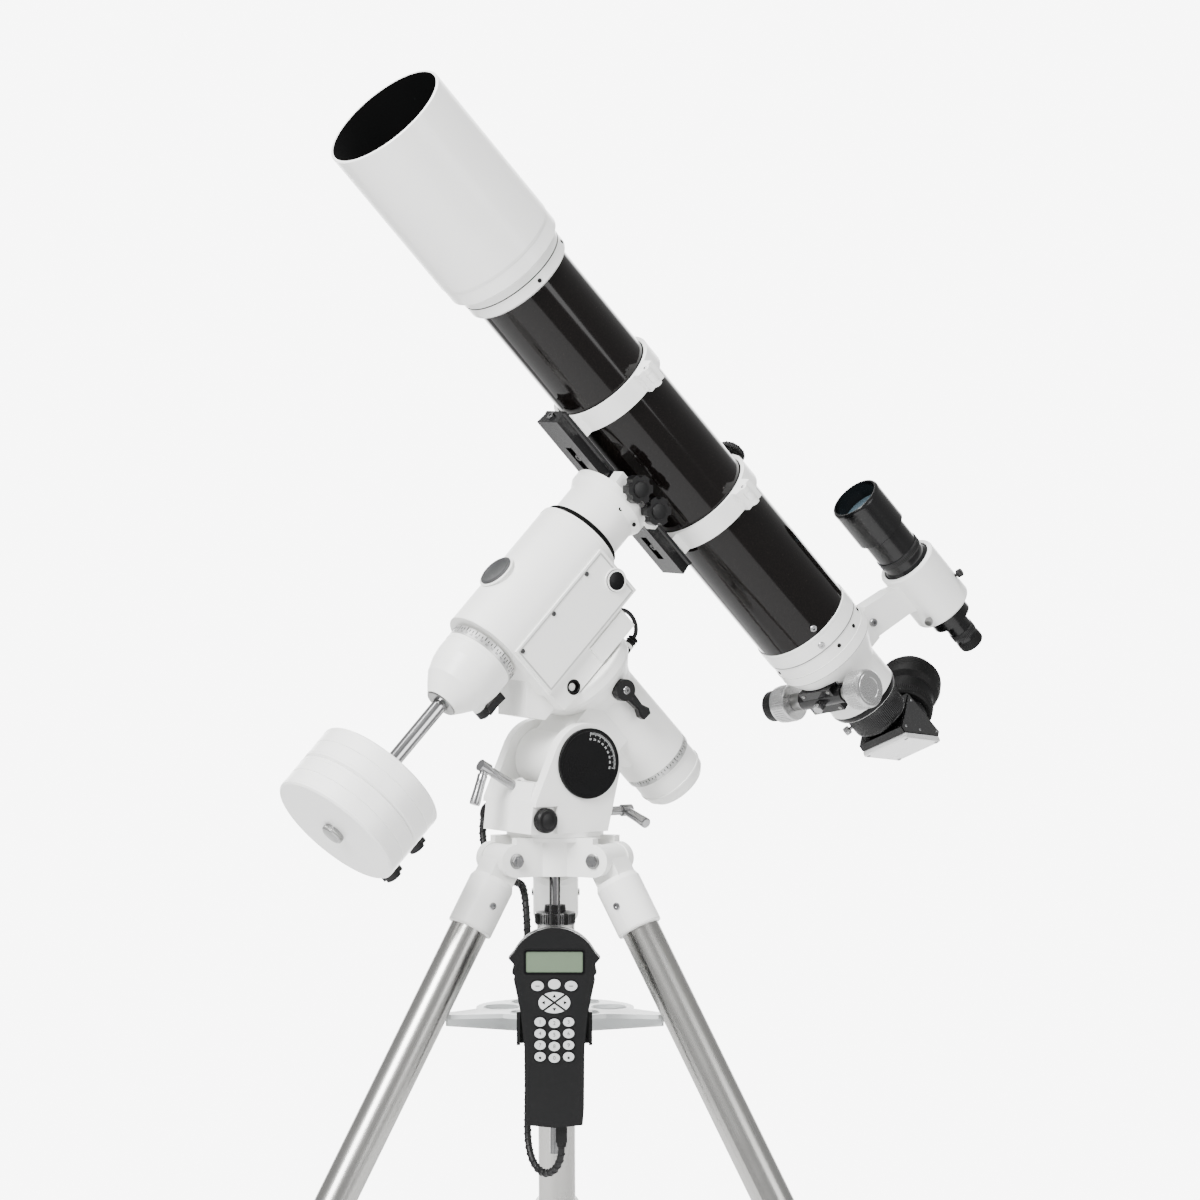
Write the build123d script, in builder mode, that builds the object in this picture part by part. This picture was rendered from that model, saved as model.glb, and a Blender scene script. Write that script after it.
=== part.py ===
"""Refractor telescope on a German equatorial mount and a steel tripod.

Millimetres, +Z up. The origin is on the floor, on the tripod's vertical axis.
The polar (RA) axis lies in the XZ plane and rises towards -X. The Dec axis
crosses it at a right angle. The side of the mount with the levers faces -Y.
"""
import os
from math import cos, hypot, pi, radians, sin, tan

from build123d import *

os.makedirs("parts", exist_ok=True)

# ---- driving dimensions -------------------------------------------------
LATITUDE = 45.5                          # tilt of the polar axis at rest
CROSS = Vector(-42.5, 0, 1017)           # where the polar and Dec axes cross
PIVOT = Vector(8, 0, 835)                # latitude pivot
LEG_ANGLE = 30.0                         # legs from the vertical
LEG_AZIMUTHS = (56.5, 176.5, 296.5)
HINGE_RADIUS = 68.0                      # leg hinge from the tripod axis
HINGE_HEIGHT = 724.0
LEG_TUBE_RADIUS = 22.25
LOWER_TUBE_RADIUS = 19.0
HUB_BOTTOM = 705.0
HUB_TOP = 750.0
TRAY_HEIGHT = 545.0
TUBE_AXIS = 256.0                        # optical axis above the polar axis
TUBE_RADIUS = 60.5
TUBE_REAR = -296.0
TUBE_FRONT = 278.0
SHIELD_RADIUS = 75.5
SHIELD_FRONT = 527.0
RING_STATIONS = (-96.0, 98.0)            # tube ring centres along the tube
RING_WIDTH = 26.0
BAR_TOP = 186.0
BAR_BOTTOM = 168.0
SHAFT_RADIUS = 9.0
WEIGHT_RADIUS = 80.0
WEIGHT_THICKNESS = 43.5
WEIGHT_LOWEST = -356.0
FOCUSER_TILT = 15.0                      # focuser turned about the tube
FOCUS_STATION = -378.0
DIAGONAL_TILT = 36.0                     # eyepiece turned about the tube
FINDER_AXIS = 411.0
GAP = 0.3                                # between faces that turn on each other
HANDSET_HEIGHT = 228.0
HANDSET_BOTTOM = 427.0
HANDSET_DISTANCE = 116.0                 # handset's middle from the tripod axis
HANDSET_AZIMUTH = 236.5                  # the way its keys face

# ---- reference planes ---------------------------------------------------
POLE = Vector(-cos(radians(LATITUDE)), 0, sin(radians(LATITUDE)))
DEC = Vector(sin(radians(LATITUDE)), 0, cos(radians(LATITUDE)))
NEAR = Vector(0, -1, 0)
RA_AXIS = Plane(origin=CROSS, x_dir=DEC, z_dir=POLE)          # x: Dec, y: +Y
DEC_AXIS = Plane(origin=CROSS, x_dir=POLE, z_dir=DEC)         # x: pole, y: -Y
SIDE = Plane(origin=CROSS, x_dir=POLE, z_dir=(0, 1, 0))       # x: pole, y: Dec
OPTICAL = Plane(origin=CROSS + DEC * TUBE_AXIS, x_dir=DEC, z_dir=POLE)
FINDER = Plane(origin=CROSS + DEC * FINDER_AXIS, x_dir=DEC, z_dir=POLE)


# ---- shared shapes ------------------------------------------------------
def save(piece, name):
    """Label a finished piece and write its STEP file."""
    piece.part.label = name
    export_step(piece.part, f"parts/{name}.step")


def turned(plane, outline, mode=Mode.ADD):
    """Revolve (radius, height) points about the plane's normal."""
    section = Plane(origin=plane.origin, x_dir=plane.x_dir, z_dir=-plane.y_dir)
    with BuildSketch(section) as profile:
        with BuildLine():
            Polyline(*outline, close=True)
        make_face()
    revolve(profile.sketch, axis=Axis(plane.origin, plane.z_dir), mode=mode)


def rod(plane, radius, low, high, mode=Mode.ADD):
    """Cylinder about the plane's normal, from one height to another."""
    with BuildSketch(plane.offset(low)) as disc:
        Circle(radius)
    extrude(disc.sketch, amount=high - low, mode=mode)


def tube(plane, outer, inner, low, high):
    """Open pipe about the plane's normal."""
    turned(plane, [(inner, low), (outer, low), (outer, high), (inner, high)])


def slab(plane, points, low, high, mode=Mode.ADD):
    """Extrude a closed polygon between two heights over the plane."""
    with BuildSketch(plane.offset(low)) as profile:
        with BuildLine():
            Polyline(*points, close=True)
        make_face()
    extrude(profile.sketch, amount=high - low, mode=mode)


def block(plane, centre, size, low, high, mode=Mode.ADD):
    """Extrude a rectangle between two heights over the plane."""
    with BuildSketch(plane.offset(low)) as profile:
        with Locations(centre):
            Rectangle(*size)
    extrude(profile.sketch, amount=high - low, mode=mode)


def lobed_knob(plane, radius, lobes, low, high):
    """Star knob: a disc with scallops cut between its lobes."""
    with BuildSketch(plane.offset(low)) as star:
        Circle(radius)
        with PolarLocations(radius * 1.06, lobes):
            Circle(radius * 0.26, mode=Mode.SUBTRACT)
    extrude(star.sketch, amount=high - low)


def at(pole, dec, toward_far=0.0):
    """Point given by its distances along the pole, the Dec axis and +Y."""
    return CROSS + POLE * pole + DEC * dec + Vector(0, toward_far, 0)


# ---- tripod -------------------------------------------------------------
def radial(azimuth):
    return Vector(cos(radians(azimuth)), sin(radians(azimuth)), 0)


def hinge_plane(azimuth):
    """At a leg's hinge: x outwards, y up, normal along the hinge pin."""
    out = radial(azimuth)
    origin = out * HINGE_RADIUS + Vector(0, 0, HINGE_HEIGHT)
    return Plane(origin=origin, x_dir=out, z_dir=out.cross(Vector(0, 0, 1)))


def leg_plane(azimuth):
    """At a leg's hinge, with the normal down along the leg."""
    out = radial(azimuth)
    down = out * sin(radians(LEG_ANGLE)) - Vector(0, 0, cos(radians(LEG_ANGLE)))
    origin = out * HINGE_RADIUS + Vector(0, 0, HINGE_HEIGHT)
    return Plane(origin=origin, x_dir=out.cross(Vector(0, 0, 1)), z_dir=down)


HINGE_PIN_RADIUS = 4.0
TONGUE_HALF = 19.0                       # half width of a leg's tongue
EAR_OUTER = 31.0                         # outer face of the hub's ears
FLOOR_REACH = HINGE_HEIGHT / cos(radians(LEG_ANGLE))
FOOT_RADIUS = 17.0

with BuildPart() as tripod_hub:
    rod(Plane.XY, 46, HUB_BOTTOM, HUB_TOP)
    rod(Plane.XY, 56, HUB_TOP - 5, HUB_TOP)
    for azimuth in LEG_AZIMUTHS:
        ears = hinge_plane(azimuth)
        for side in (-1, 1):
            near, far = sorted((side * (TONGUE_HALF + GAP), side * EAR_OUTER))
            block(ears, (-20, 3.5), (40, 45), near, far)
            rod(ears, 18.9, near, far)
        rod(ears, HINGE_PIN_RADIUS + 0.05, -40, 40, Mode.SUBTRACT)
        slot_low = -TONGUE_HALF - GAP
        block(ears, (12, 0), (62, 70), slot_low, -slot_low, Mode.SUBTRACT)
    rod(Plane.XY, 7, 600, 800, Mode.SUBTRACT)
save(tripod_hub, "tripod_hub")

with BuildPart() as leg_bolts:
    for azimuth in LEG_AZIMUTHS:
        pin = hinge_plane(azimuth)
        rod(pin, HINGE_PIN_RADIUS, -EAR_OUTER - 6, EAR_OUTER + 1)
        with BuildSketch(pin.offset(EAR_OUTER + 0.05)) as bolt_head:
            RegularPolygon(7, 6)
        extrude(bolt_head.sketch, amount=5)
        with BuildSketch(pin.offset(-EAR_OUTER - 5.05)) as nut:
            RegularPolygon(7, 6)
        extrude(nut.sketch, amount=5)
save(leg_bolts, "leg_bolts")

SOCKET_END = 88.0                        # distances down the leg from the hinge
COLLAR_TOP = 520.0
UPPER_TUBE_END = 560.0
LOWER_TUBE_END = FLOOR_REACH - 26.0


def make_leg(number, azimuth):
    """One leg: castings with the clamp screw, upper tube, lower tube with its foot."""
    down = leg_plane(azimuth)
    pin = hinge_plane(azimuth)
    floor = Plane(origin=down.origin + down.z_dir * FLOOR_REACH, z_dir=(0, 0, 1))
    screw = Plane(origin=down.origin + down.z_dir * (COLLAR_TOP + 20) - down.y_dir * 36, z_dir=-down.y_dir)
    with BuildPart() as castings:
        rod(pin, 17.5, -TONGUE_HALF, TONGUE_HALF)
        block(down, (0, 0), (2 * TONGUE_HALF, 33), 0, 34)
        turned(down, [(0, 26), (24, 26), (26.5, 32), (26.5, SOCKET_END), (LEG_TUBE_RADIUS, SOCKET_END),
                      (LEG_TUBE_RADIUS, 44), (0, 44)])
        rod(pin, HINGE_PIN_RADIUS + 0.05, -40, 40, Mode.SUBTRACT)
        turned(down, [(LEG_TUBE_RADIUS, COLLAR_TOP), (27, COLLAR_TOP), (27, UPPER_TUBE_END),
                      (24, UPPER_TUBE_END + 10), (LOWER_TUBE_RADIUS + 0.08, UPPER_TUBE_END + 10),
                      (LOWER_TUBE_RADIUS + 0.08, UPPER_TUBE_END), (LEG_TUBE_RADIUS, UPPER_TUBE_END)])
        block(down, (0, -30), (16, 12), COLLAR_TOP + 8, COLLAR_TOP + 32)
        rod(screw, 5, 0.2, 8)
        lobed_knob(screw, 13, 5, 8, 20)
    save(castings, f"leg_castings_{number}")
    with BuildPart() as upper:
        tube(down, LEG_TUBE_RADIUS, LEG_TUBE_RADIUS - 1.6, 44, UPPER_TUBE_END)
    save(upper, f"leg_tube_{number}")
    with BuildPart() as lower:
        tube(down, LOWER_TUBE_RADIUS, LOWER_TUBE_RADIUS - 1.6, 180, LOWER_TUBE_END - 0.1)
        turned(down, [(0, LOWER_TUBE_END), (21, LOWER_TUBE_END), (21, LOWER_TUBE_END + 8),
                      (FOOT_RADIUS - 4, LOWER_TUBE_END + 60), (0, LOWER_TUBE_END + 60)])
        rod(down, LOWER_TUBE_RADIUS - 1.7, LOWER_TUBE_END - 14, LOWER_TUBE_END)
        block(floor, (0, 0), (120, 120), -90, 0, Mode.SUBTRACT)
    save(lower, f"leg_lower_{number}")


for leg_number, leg_azimuth in enumerate(LEG_AZIMUTHS, start=1):
    make_leg(leg_number, leg_azimuth)

ROD_RADIUS = 6.0
ROD_BOTTOM = 380.0
LOCK_KNOB_TOP = 668.0

with BuildPart() as mount_bolt:
    rod(Plane.XY, ROD_RADIUS, ROD_BOTTOM, HUB_TOP + 5)
    tube(Plane.XY, 11, ROD_RADIUS, LOCK_KNOB_TOP - 8, LOCK_KNOB_TOP)
    with BuildSketch(Plane.XY.offset(LOCK_KNOB_TOP - 22)) as grip:
        Circle(23)
        with PolarLocations(24.4, 8):
            Circle(3.4, mode=Mode.SUBTRACT)
        Circle(ROD_RADIUS, mode=Mode.SUBTRACT)
    extrude(grip.sketch, amount=14)
save(mount_bolt, "mount_bolt")

TRAY_THICKNESS = 5.0
TRAY_RADIUS = 91.0
ARM_REACH = 142.5
HOLE_CIRCLE = 62.0

with BuildPart() as accessory_tray:
    rod(Plane.XY, TRAY_RADIUS, TRAY_HEIGHT, TRAY_HEIGHT + TRAY_THICKNESS)
    for azimuth in LEG_AZIMUTHS:
        out = radial(azimuth)
        arm = Plane(origin=(0, 0, 0), x_dir=out, z_dir=(0, 0, 1))
        slab(arm, [(40, -46), (ARM_REACH - 8, -14), (ARM_REACH, -10), (ARM_REACH, 10),
                   (ARM_REACH - 8, 14), (40, 46)], TRAY_HEIGHT, TRAY_HEIGHT + TRAY_THICKNESS)
        web = Plane(origin=(0, 0, TRAY_HEIGHT), x_dir=out, z_dir=out.cross(Vector(0, 0, 1)))
        slab(web, [(12, 1), (ARM_REACH, 1), (ARM_REACH, -9), (30, -22), (12, -22)], -2.5, 2.5)
    with BuildSketch(Plane.XY.offset(TRAY_HEIGHT - 1)) as pockets:
        with PolarLocations(HOLE_CIRCLE, 6, start_angle=LEG_AZIMUTHS[0] + 30):
            Circle(19)
    extrude(pockets.sketch, amount=TRAY_THICKNESS + 2, mode=Mode.SUBTRACT)
    rod(Plane.XY, 17, TRAY_HEIGHT - 22, TRAY_HEIGHT + TRAY_THICKNESS)
    rod(Plane.XY, ROD_RADIUS + 0.08, TRAY_HEIGHT - 30, TRAY_HEIGHT + 10, Mode.SUBTRACT)
save(accessory_tray, "accessory_tray")

# ---- azimuth base -------------------------------------------------------
WORLD_SIDE = Plane(origin=(0, 0, 0), x_dir=(1, 0, 0), z_dir=(0, -1, 0))   # x: +X, y: +Z
PIVOT_AXIS = Plane(origin=PIVOT, x_dir=(1, 0, 0), z_dir=(0, -1, 0))
CHEEK_INNER = 42.0
CHEEK_OUTER = 56.0
RECESS = 50.0                            # face under each azimuth knob
BASE_BOTTOM = HUB_TOP + GAP
BASE_FLOOR = 768.0
AZIMUTH_KNOB = (-50.0, 772.0)            # X and Z of the azimuth screws
SCREW_RADIUS = 5.0
NORTH_BOLT = Plane(origin=(-44, 0, 801), x_dir=(0, 1, 0), z_dir=(-0.867, 0, 0.498))
SOUTH_BOLT = Plane(origin=(44, 0, 773), x_dir=(0, 1, 0), z_dir=(1, 0, 0))

with BuildPart() as azimuth_base:
    rod(Plane.XY, 56, BASE_BOTTOM, 760)
    slab(WORLD_SIDE, [(-66, 756), (36, 756), (36, BASE_FLOOR), (-64.8, BASE_FLOOR)], -CHEEK_INNER, CHEEK_INNER)
    slab(WORLD_SIDE, [(-66, 756), (-62, 793), (-56, 814), (-44, 814), (-44, 756)], -CHEEK_INNER, CHEEK_INNER)
    slab(WORLD_SIDE, [(24, 756), (36, 756), (43, 791), (31, 791)], -CHEEK_INNER, CHEEK_INNER)
    for low, high in ((-CHEEK_OUTER, -CHEEK_INNER), (CHEEK_INNER, CHEEK_OUTER)):
        slab(WORLD_SIDE, [(-66, 756), (-62, 793), (-33, 856.5), (8, 835), (53.4, 827), (36, 756)], low, high)
        rod(PIVOT_AXIS, 46, low, high)
    rod(NORTH_BOLT, 13, -4, 10)
    rod(SOUTH_BOLT, 12, -8, 4)
    for low, high in ((-CHEEK_OUTER - 1, -RECESS), (RECESS, CHEEK_OUTER + 1)):
        block(WORLD_SIDE, (-50, 771), (34, 33), low, high, Mode.SUBTRACT)
    rod(Plane(origin=(-50, 0, 772), z_dir=(0, -1, 0)), 4.05, -60, -30, Mode.SUBTRACT)
    rod(Plane(origin=(-50, 0, 772), z_dir=(0, -1, 0)), 4.05, 30, 60, Mode.SUBTRACT)
    rod(NORTH_BOLT, SCREW_RADIUS + 0.05, -20, 20, Mode.SUBTRACT)
    rod(SOUTH_BOLT, SCREW_RADIUS + 0.05, -24, 20, Mode.SUBTRACT)
    rod(PIVOT_AXIS, 7.05, -60, 60, Mode.SUBTRACT)
    rod(Plane.XY, 7, 740, 762, Mode.SUBTRACT)
save(azimuth_base, "azimuth_base")


def azimuth_knob(name, facing):
    screw = Plane(origin=(AZIMUTH_KNOB[0], 0, AZIMUTH_KNOB[1]), z_dir=facing)
    with BuildPart() as knob:
        rod(screw, 4, 36, RECESS + 1)
        turned(screw, [(0, RECESS + 0.4), (9, RECESS + 0.4), (9, RECESS + 3), (14, RECESS + 3),
                       (14, RECESS + 11), (12, RECESS + 13), (0, RECESS + 13)])
    save(knob, name)


azimuth_knob("azimuth_knob_near", (0, -1, 0))
azimuth_knob("azimuth_knob_far", (0, 1, 0))

NORTH_HANDLE = Vector(-0.316, 0, -0.949)     # way the handle hangs from the north bolt
SOUTH_HANDLE = Vector(0, -0.961, -0.276)
HANDLE_LENGTH = 44.0


def latitude_bolt(name, axis, tip, handle):
    """Latitude screw with its hanging T handle."""
    with BuildPart() as bolt:
        rod(axis, SCREW_RADIUS, -8, tip)
        knee = axis.origin + axis.z_dir * (tip - 4)
        rod(Plane(origin=knee, z_dir=axis.z_dir), 7, -6, 7)
        rod(Plane(origin=knee, z_dir=handle), 4.6, 0, HANDLE_LENGTH)
    save(bolt, name)


latitude_bolt("latitude_bolt_north", NORTH_BOLT, 64, NORTH_HANDLE)
latitude_bolt("latitude_bolt_south", SOUTH_BOLT, 58, SOUTH_HANDLE)

with BuildPart() as latitude_dials:
    for low, high in ((CHEEK_OUTER + 0.1, CHEEK_OUTER + 4), (-CHEEK_OUTER - 4, -CHEEK_OUTER - 0.1)):
        rod(PIVOT_AXIS, 40.5, low, high)
save(latitude_dials, "latitude_dials")

# ---- polar housing: tilts in the base -----------------------------------
RA_AXLE_RADIUS = 22.0
HOUSING_REAR = -255.0
CIRCLE_REAR = -264.5                     # rear edge of the RA setting circle's seat
HOUSING_FRONT = -104.0
DRUM_HALF = CHEEK_INNER - 0.5
PLUG_STATION = -138.0                    # motor cable's plug, along the polar axis
LEVER = Plane(origin=at(-142, 2), x_dir=-POLE, z_dir=NEAR)

with BuildPart() as polar_housing:
    turned(RA_AXIS, [(0, CIRCLE_REAR), (41.4, CIRCLE_REAR), (41.4, HOUSING_REAR), (42.5, HOUSING_REAR),
                     (42.5, -150), (47, -139), (60, -122), (62, -117), (62, HOUSING_FRONT), (0, HOUSING_FRONT)])
    rod(PIVOT_AXIS, 36, -DRUM_HALF, DRUM_HALF)
    slab(SIDE, [(-198, -86), (-198, -20), (-132, -20), (-132, -86)], -34, 34)
    slab(SIDE, [(-230, -40), (-230, -20), (-198, -20), (-198, -68)], -20, 20)
    block(PIVOT_AXIS, (0, -44), (12, 22), -12, 12)
    rod(PIVOT_AXIS, 7, -CHEEK_OUTER, CHEEK_OUTER)
    rod(RA_AXIS, RA_AXLE_RADIUS + 0.05, -250, HOUSING_FRONT + 1, Mode.SUBTRACT)
    rod(LEVER, 13.5, 20, 48)
    rod(LEVER, 13.5, 48, 70, Mode.SUBTRACT)
    rod(LEVER, 4.05, 30, 60, Mode.SUBTRACT)
    rod(Plane(origin=at(PLUG_STATION, 0), z_dir=DEC), 6.5, 38, 66)
    rod(Plane(origin=at(PLUG_STATION, 0), z_dir=DEC), 4.5, 66, 70)
    rod(RA_AXIS, RA_AXLE_RADIUS + 0.05, -160, -110, Mode.SUBTRACT)
save(polar_housing, "polar_housing")

with BuildPart() as polar_cap:
    turned(RA_AXIS, [(0, -306), (26, -306), (34, -303), (38.5, -297), (40, -289), (40, CIRCLE_REAR),
                     (0, CIRCLE_REAR)])
save(polar_cap, "polar_cap")

with BuildPart() as ra_clutch_lever:
    rod(LEVER, 4, 34, 50)
    rod(LEVER, 12.5, 48.3, 60)
    slab(LEVER, [(8, -6), (28, -4), (37, -8), (43, -6), (44, 5), (38, 8), (28, 4), (8, 6)], 51, 59)
save(ra_clutch_lever, "ra_clutch_lever")

# ---- Dec housing: turns on the polar axis -------------------------------
DEC_AXLE_RADIUS = 20.0
HOUSING_RADIUS = 52.0
HOUSING_LOW = -72.0
HOUSING_HIGH = 104.0
BOX_REAR = -74.0
STEP_REAR = -102.0
COVER_OUTER = 55.0

with BuildPart() as dec_housing:
    rod(DEC_AXIS, HOUSING_RADIUS, HOUSING_LOW, HOUSING_HIGH)
    rod(RA_AXIS, 21.5, 40, 54)
    slab(SIDE, [(0, HOUSING_LOW), (BOX_REAR, HOUSING_LOW), (BOX_REAR, 96), (0, 96)],
         -HOUSING_RADIUS, HOUSING_RADIUS)
    slab(SIDE, [(-70, -68), (STEP_REAR, -68), (STEP_REAR, 67), (-70, 67)], -50, 50)
    slab(SIDE, [(-50, -71), (-80, -101), (-101, -86), (-101, -67), (-50, -67)], -30, 30)
    rod(RA_AXIS, RA_AXLE_RADIUS, -248, -58)
    rod(DEC_AXIS, DEC_AXLE_RADIUS + 0.05, -80, 110, Mode.SUBTRACT)
    rod(Plane(origin=at(-92, -41), z_dir=NEAR), 8, 46, 60, Mode.SUBTRACT)
save(dec_housing, "dec_housing")

with BuildPart() as motor_cover:
    slab(SIDE, [(-4, -69), (-72, -69), (-72, 93), (-4, 93)], -COVER_OUTER, -HOUSING_RADIUS)
    slab(SIDE, [(-76, 5), (-100, 5), (-100, 65), (-76, 65)], -COVER_OUTER + 2, -50)
    rod(Plane(origin=at(-44, 82), z_dir=NEAR), 12.5, COVER_OUTER, COVER_OUTER + 3)
save(motor_cover, "motor_cover")


# ---- cords --------------------------------------------------------------
def cord(name, points, diameter, smallest):
    """Tube along straight runs joined by tangent arcs; prints the arc radii."""
    radii = []
    for before, corner, after in zip(points, points[1:], points[2:]):
        first = corner - before
        second = after - corner
        turn = radians(first.get_angle(second))
        radii.append(0.45 * min(first.length, second.length) / tan(turn / 2))
    with BuildPart() as rope:
        with BuildLine() as route:
            FilletPolyline(*points, radius=radii)
        path = route.wires()[0]
        start = Plane(origin=points[0], z_dir=points[1] - points[0])
        with BuildSketch(start):
            Circle(diameter / 2)
        sweep(path=path)
    expected = pi * diameter ** 2 / 4 * path.length
    print(name, "radii", [round(radius, 1) for radius in radii])
    print(name, "length", round(path.length, 1), "volume ratio", round(rope.part.volume / expected, 4),
          "smallest radius", round(min(radii), 1), "allowed", smallest)
    save(rope, name)


MOTOR_CABLE = [at(-138, 70), at(-138, 79), at(-133.5, 88, 1.5), at(-123, 94, 2.5), at(-111, 94, 2.5),
               at(-101, 88, 1.5), at(-96, 79), at(-96, 67)]
cord("motor_cable", MOTOR_CABLE, 5.0, 5.0)

# ---- Dec axis: head, cup, shaft and weights -----------------------------
CUP_END = -157.0
SADDLE_FLOOR = BAR_BOTTOM - GAP
SADDLE_KNOBS = (9.0, -27.0)              # stations of the clamp screws
SADDLE_SCREW_HEIGHT = 177.0

with BuildPart() as saddle_head:
    turned(DEC_AXIS, [(0, HOUSING_HIGH + 0.4), (41, HOUSING_HIGH + 0.4), (41, 108), (43.5, 108), (43.5, 148),
                      (49, 158), (49, SADDLE_FLOOR), (0, SADDLE_FLOOR)])
    rod(DEC_AXIS, DEC_AXLE_RADIUS, -130, 152)
    for side in (-1, 1):
        jaw = [(side * 24, SADDLE_FLOOR), (side * 42, SADDLE_FLOOR), (side * 40, 184), (side * 21, 184)]
        slab(RA_AXIS, [(height, across) for across, height in jaw], -48, 30)
    for station in SADDLE_KNOBS:
        screw = Plane(origin=at(station, SADDLE_SCREW_HEIGHT), z_dir=NEAR)
        rod(screw, 4.05, 20, 45, Mode.SUBTRACT)
    rod(DEC_AXIS, SHAFT_RADIUS + 0.05, -131, 120, Mode.SUBTRACT)
save(saddle_head, "saddle_head")


def saddle_knob(name, station):
    screw = Plane(origin=at(station, SADDLE_SCREW_HEIGHT), z_dir=NEAR)
    with BuildPart() as knob:
        rod(screw, 4, 25, 44)
        rod(screw, 8, 42.6, 49.5)
        lobed_knob(screw, 17, 6, 49.5, 62)
    save(knob, name)


saddle_knob("saddle_knob_upper", SADDLE_KNOBS[0])
saddle_knob("saddle_knob_lower", SADDLE_KNOBS[1])

LOCK_LEVER = Plane(origin=at(0, -126), x_dir=DEC, z_dir=-POLE)

with BuildPart() as dec_cup:
    turned(DEC_AXIS, [(0, -75), (42, -75), (42, -87), (43, -87), (43, -108), (41, -120), (36, -135), (27, -148),
                      (20, CUP_END), (0, CUP_END)])
    rod(DEC_AXIS, DEC_AXLE_RADIUS, -130, -70, Mode.SUBTRACT)
    rod(DEC_AXIS, SHAFT_RADIUS + 0.05, -170, -100, Mode.SUBTRACT)
    rod(LOCK_LEVER, 8, 30, 42)
    rod(LOCK_LEVER, 4.05, 24, 50, Mode.SUBTRACT)
save(dec_cup, "dec_cup")

with BuildPart() as shaft_lock_lever:
    rod(LOCK_LEVER, 4, 25, 44)
    rod(LOCK_LEVER, 8, 42.5, 52)
    slab(LOCK_LEVER, [(3, -6), (20, -4.5), (30, -7), (33, 0), (30, 7), (20, 4.5), (3, 6)], 46, 56)
save(shaft_lock_lever, "shaft_lock_lever")

with BuildPart() as counterweight_shaft:
    rod(DEC_AXIS, SHAFT_RADIUS, WEIGHT_LOWEST - GAP, 40)
    turned(DEC_AXIS, [(0, -363.5), (11.5, -363.5), (13, -362), (13, WEIGHT_LOWEST - GAP),
                      (0, WEIGHT_LOWEST - GAP)])
save(counterweight_shaft, "counterweight_shaft")

WEIGHT_KNOB_DIRECTION = -POLE * cos(radians(6)) + Vector(0, sin(radians(6)), 0)


def counterweight(name, low):
    """Round weight with a groove round its middle and a screw in its side."""
    high = low + WEIGHT_THICKNESS
    middle = low + WEIGHT_THICKNESS / 2
    bore = SHAFT_RADIUS + 0.05
    screw = Plane(origin=at(0, middle), z_dir=WEIGHT_KNOB_DIRECTION)
    with BuildPart() as weight:
        turned(DEC_AXIS, [(bore, low), (WEIGHT_RADIUS - 2, low), (WEIGHT_RADIUS, low + 2),
                          (WEIGHT_RADIUS, middle - 0.8), (WEIGHT_RADIUS - 1, middle), (WEIGHT_RADIUS, middle + 0.8),
                          (WEIGHT_RADIUS, high - 2), (WEIGHT_RADIUS - 2, high), (bore, high)])
        rod(screw, 4.05, 12, 90, Mode.SUBTRACT)
    save(weight, f"counterweight_{name}")
    with BuildPart() as knob:
        rod(screw, 4, 20, 84)
        rod(screw, 7, 80.6, 86)
        lobed_knob(screw, 13, 3, 86, 97)
    save(knob, f"counterweight_knob_{name}")


counterweight("lower", WEIGHT_LOWEST)
counterweight("upper", WEIGHT_LOWEST + WEIGHT_THICKNESS + GAP)

# ---- telescope: slides in the saddle ------------------------------------
with BuildPart() as dovetail_bar:
    profile = [(-21.5, BAR_BOTTOM), (21.5, BAR_BOTTOM), (18, 181), (20, 183), (20, BAR_TOP), (-20, BAR_TOP),
               (-20, 183), (-18, 181)]
    slab(RA_AXIS, [(height, across) for across, height in profile], -124, 126)
    for low, high in ((-100, -64), (48, 84)):
        block(DEC_AXIS, ((low + high) / 2, 0), (high - low, 12), BAR_BOTTOM - 1, BAR_BOTTOM + 6, Mode.SUBTRACT)
save(dovetail_bar, "dovetail_bar")

RING_INNER = TUBE_RADIUS
RING_OUTER = TUBE_RADIUS + 5.5
HINGE_HEIGHT_ON_RING = 16.0              # ring joint above the optical axis
RING_HINGE_Y = -72.0
RING_LUG_Y = 70.0
KNUCKLE_RADIUS = 5.0
KNUCKLE_HALF = 6.0                       # half length of the middle knuckle


def ring_pivot(station):
    """Along a tube ring's hinge, on the near side."""
    return Plane(origin=at(station, TUBE_AXIS + HINGE_HEIGHT_ON_RING + GAP / 2, -76.2), z_dir=POLE)


with BuildPart() as ring_bases:
    for station in RING_STATIONS:
        low = station - RING_WIDTH / 2
        high = station + RING_WIDTH / 2
        tube(OPTICAL, RING_OUTER, RING_INNER, low, high)
        block(OPTICAL, (-65, 0), (16, 44), low, high)
        block(OPTICAL, (HINGE_HEIGHT_ON_RING - 6, RING_HINGE_Y + 6), (12, 20), low, high)
        block(OPTICAL, (HINGE_HEIGHT_ON_RING - 6, RING_LUG_Y - 4), (12, 20), low, high)
        rod(OPTICAL, RING_INNER, low - 1, high + 1, Mode.SUBTRACT)
        block(OPTICAL, (HINGE_HEIGHT_ON_RING + 50, 0), (100, 240), low - 1, high + 1, Mode.SUBTRACT)
        rod(Plane(origin=at(station, TUBE_AXIS, RING_LUG_Y), z_dir=DEC), 4.2, -10, 40, Mode.SUBTRACT)
        block(OPTICAL, (-80, 0), (20, 60), low - 1, high + 1, Mode.SUBTRACT)
        rod(ring_pivot(station), KNUCKLE_RADIUS + GAP, -KNUCKLE_HALF - GAP, KNUCKLE_HALF + GAP, Mode.SUBTRACT)
        rod(ring_pivot(station), KNUCKLE_RADIUS, -RING_WIDTH / 2, -KNUCKLE_HALF - GAP)
        rod(ring_pivot(station), KNUCKLE_RADIUS, KNUCKLE_HALF + GAP, RING_WIDTH / 2)
save(ring_bases, "ring_bases")


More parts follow.
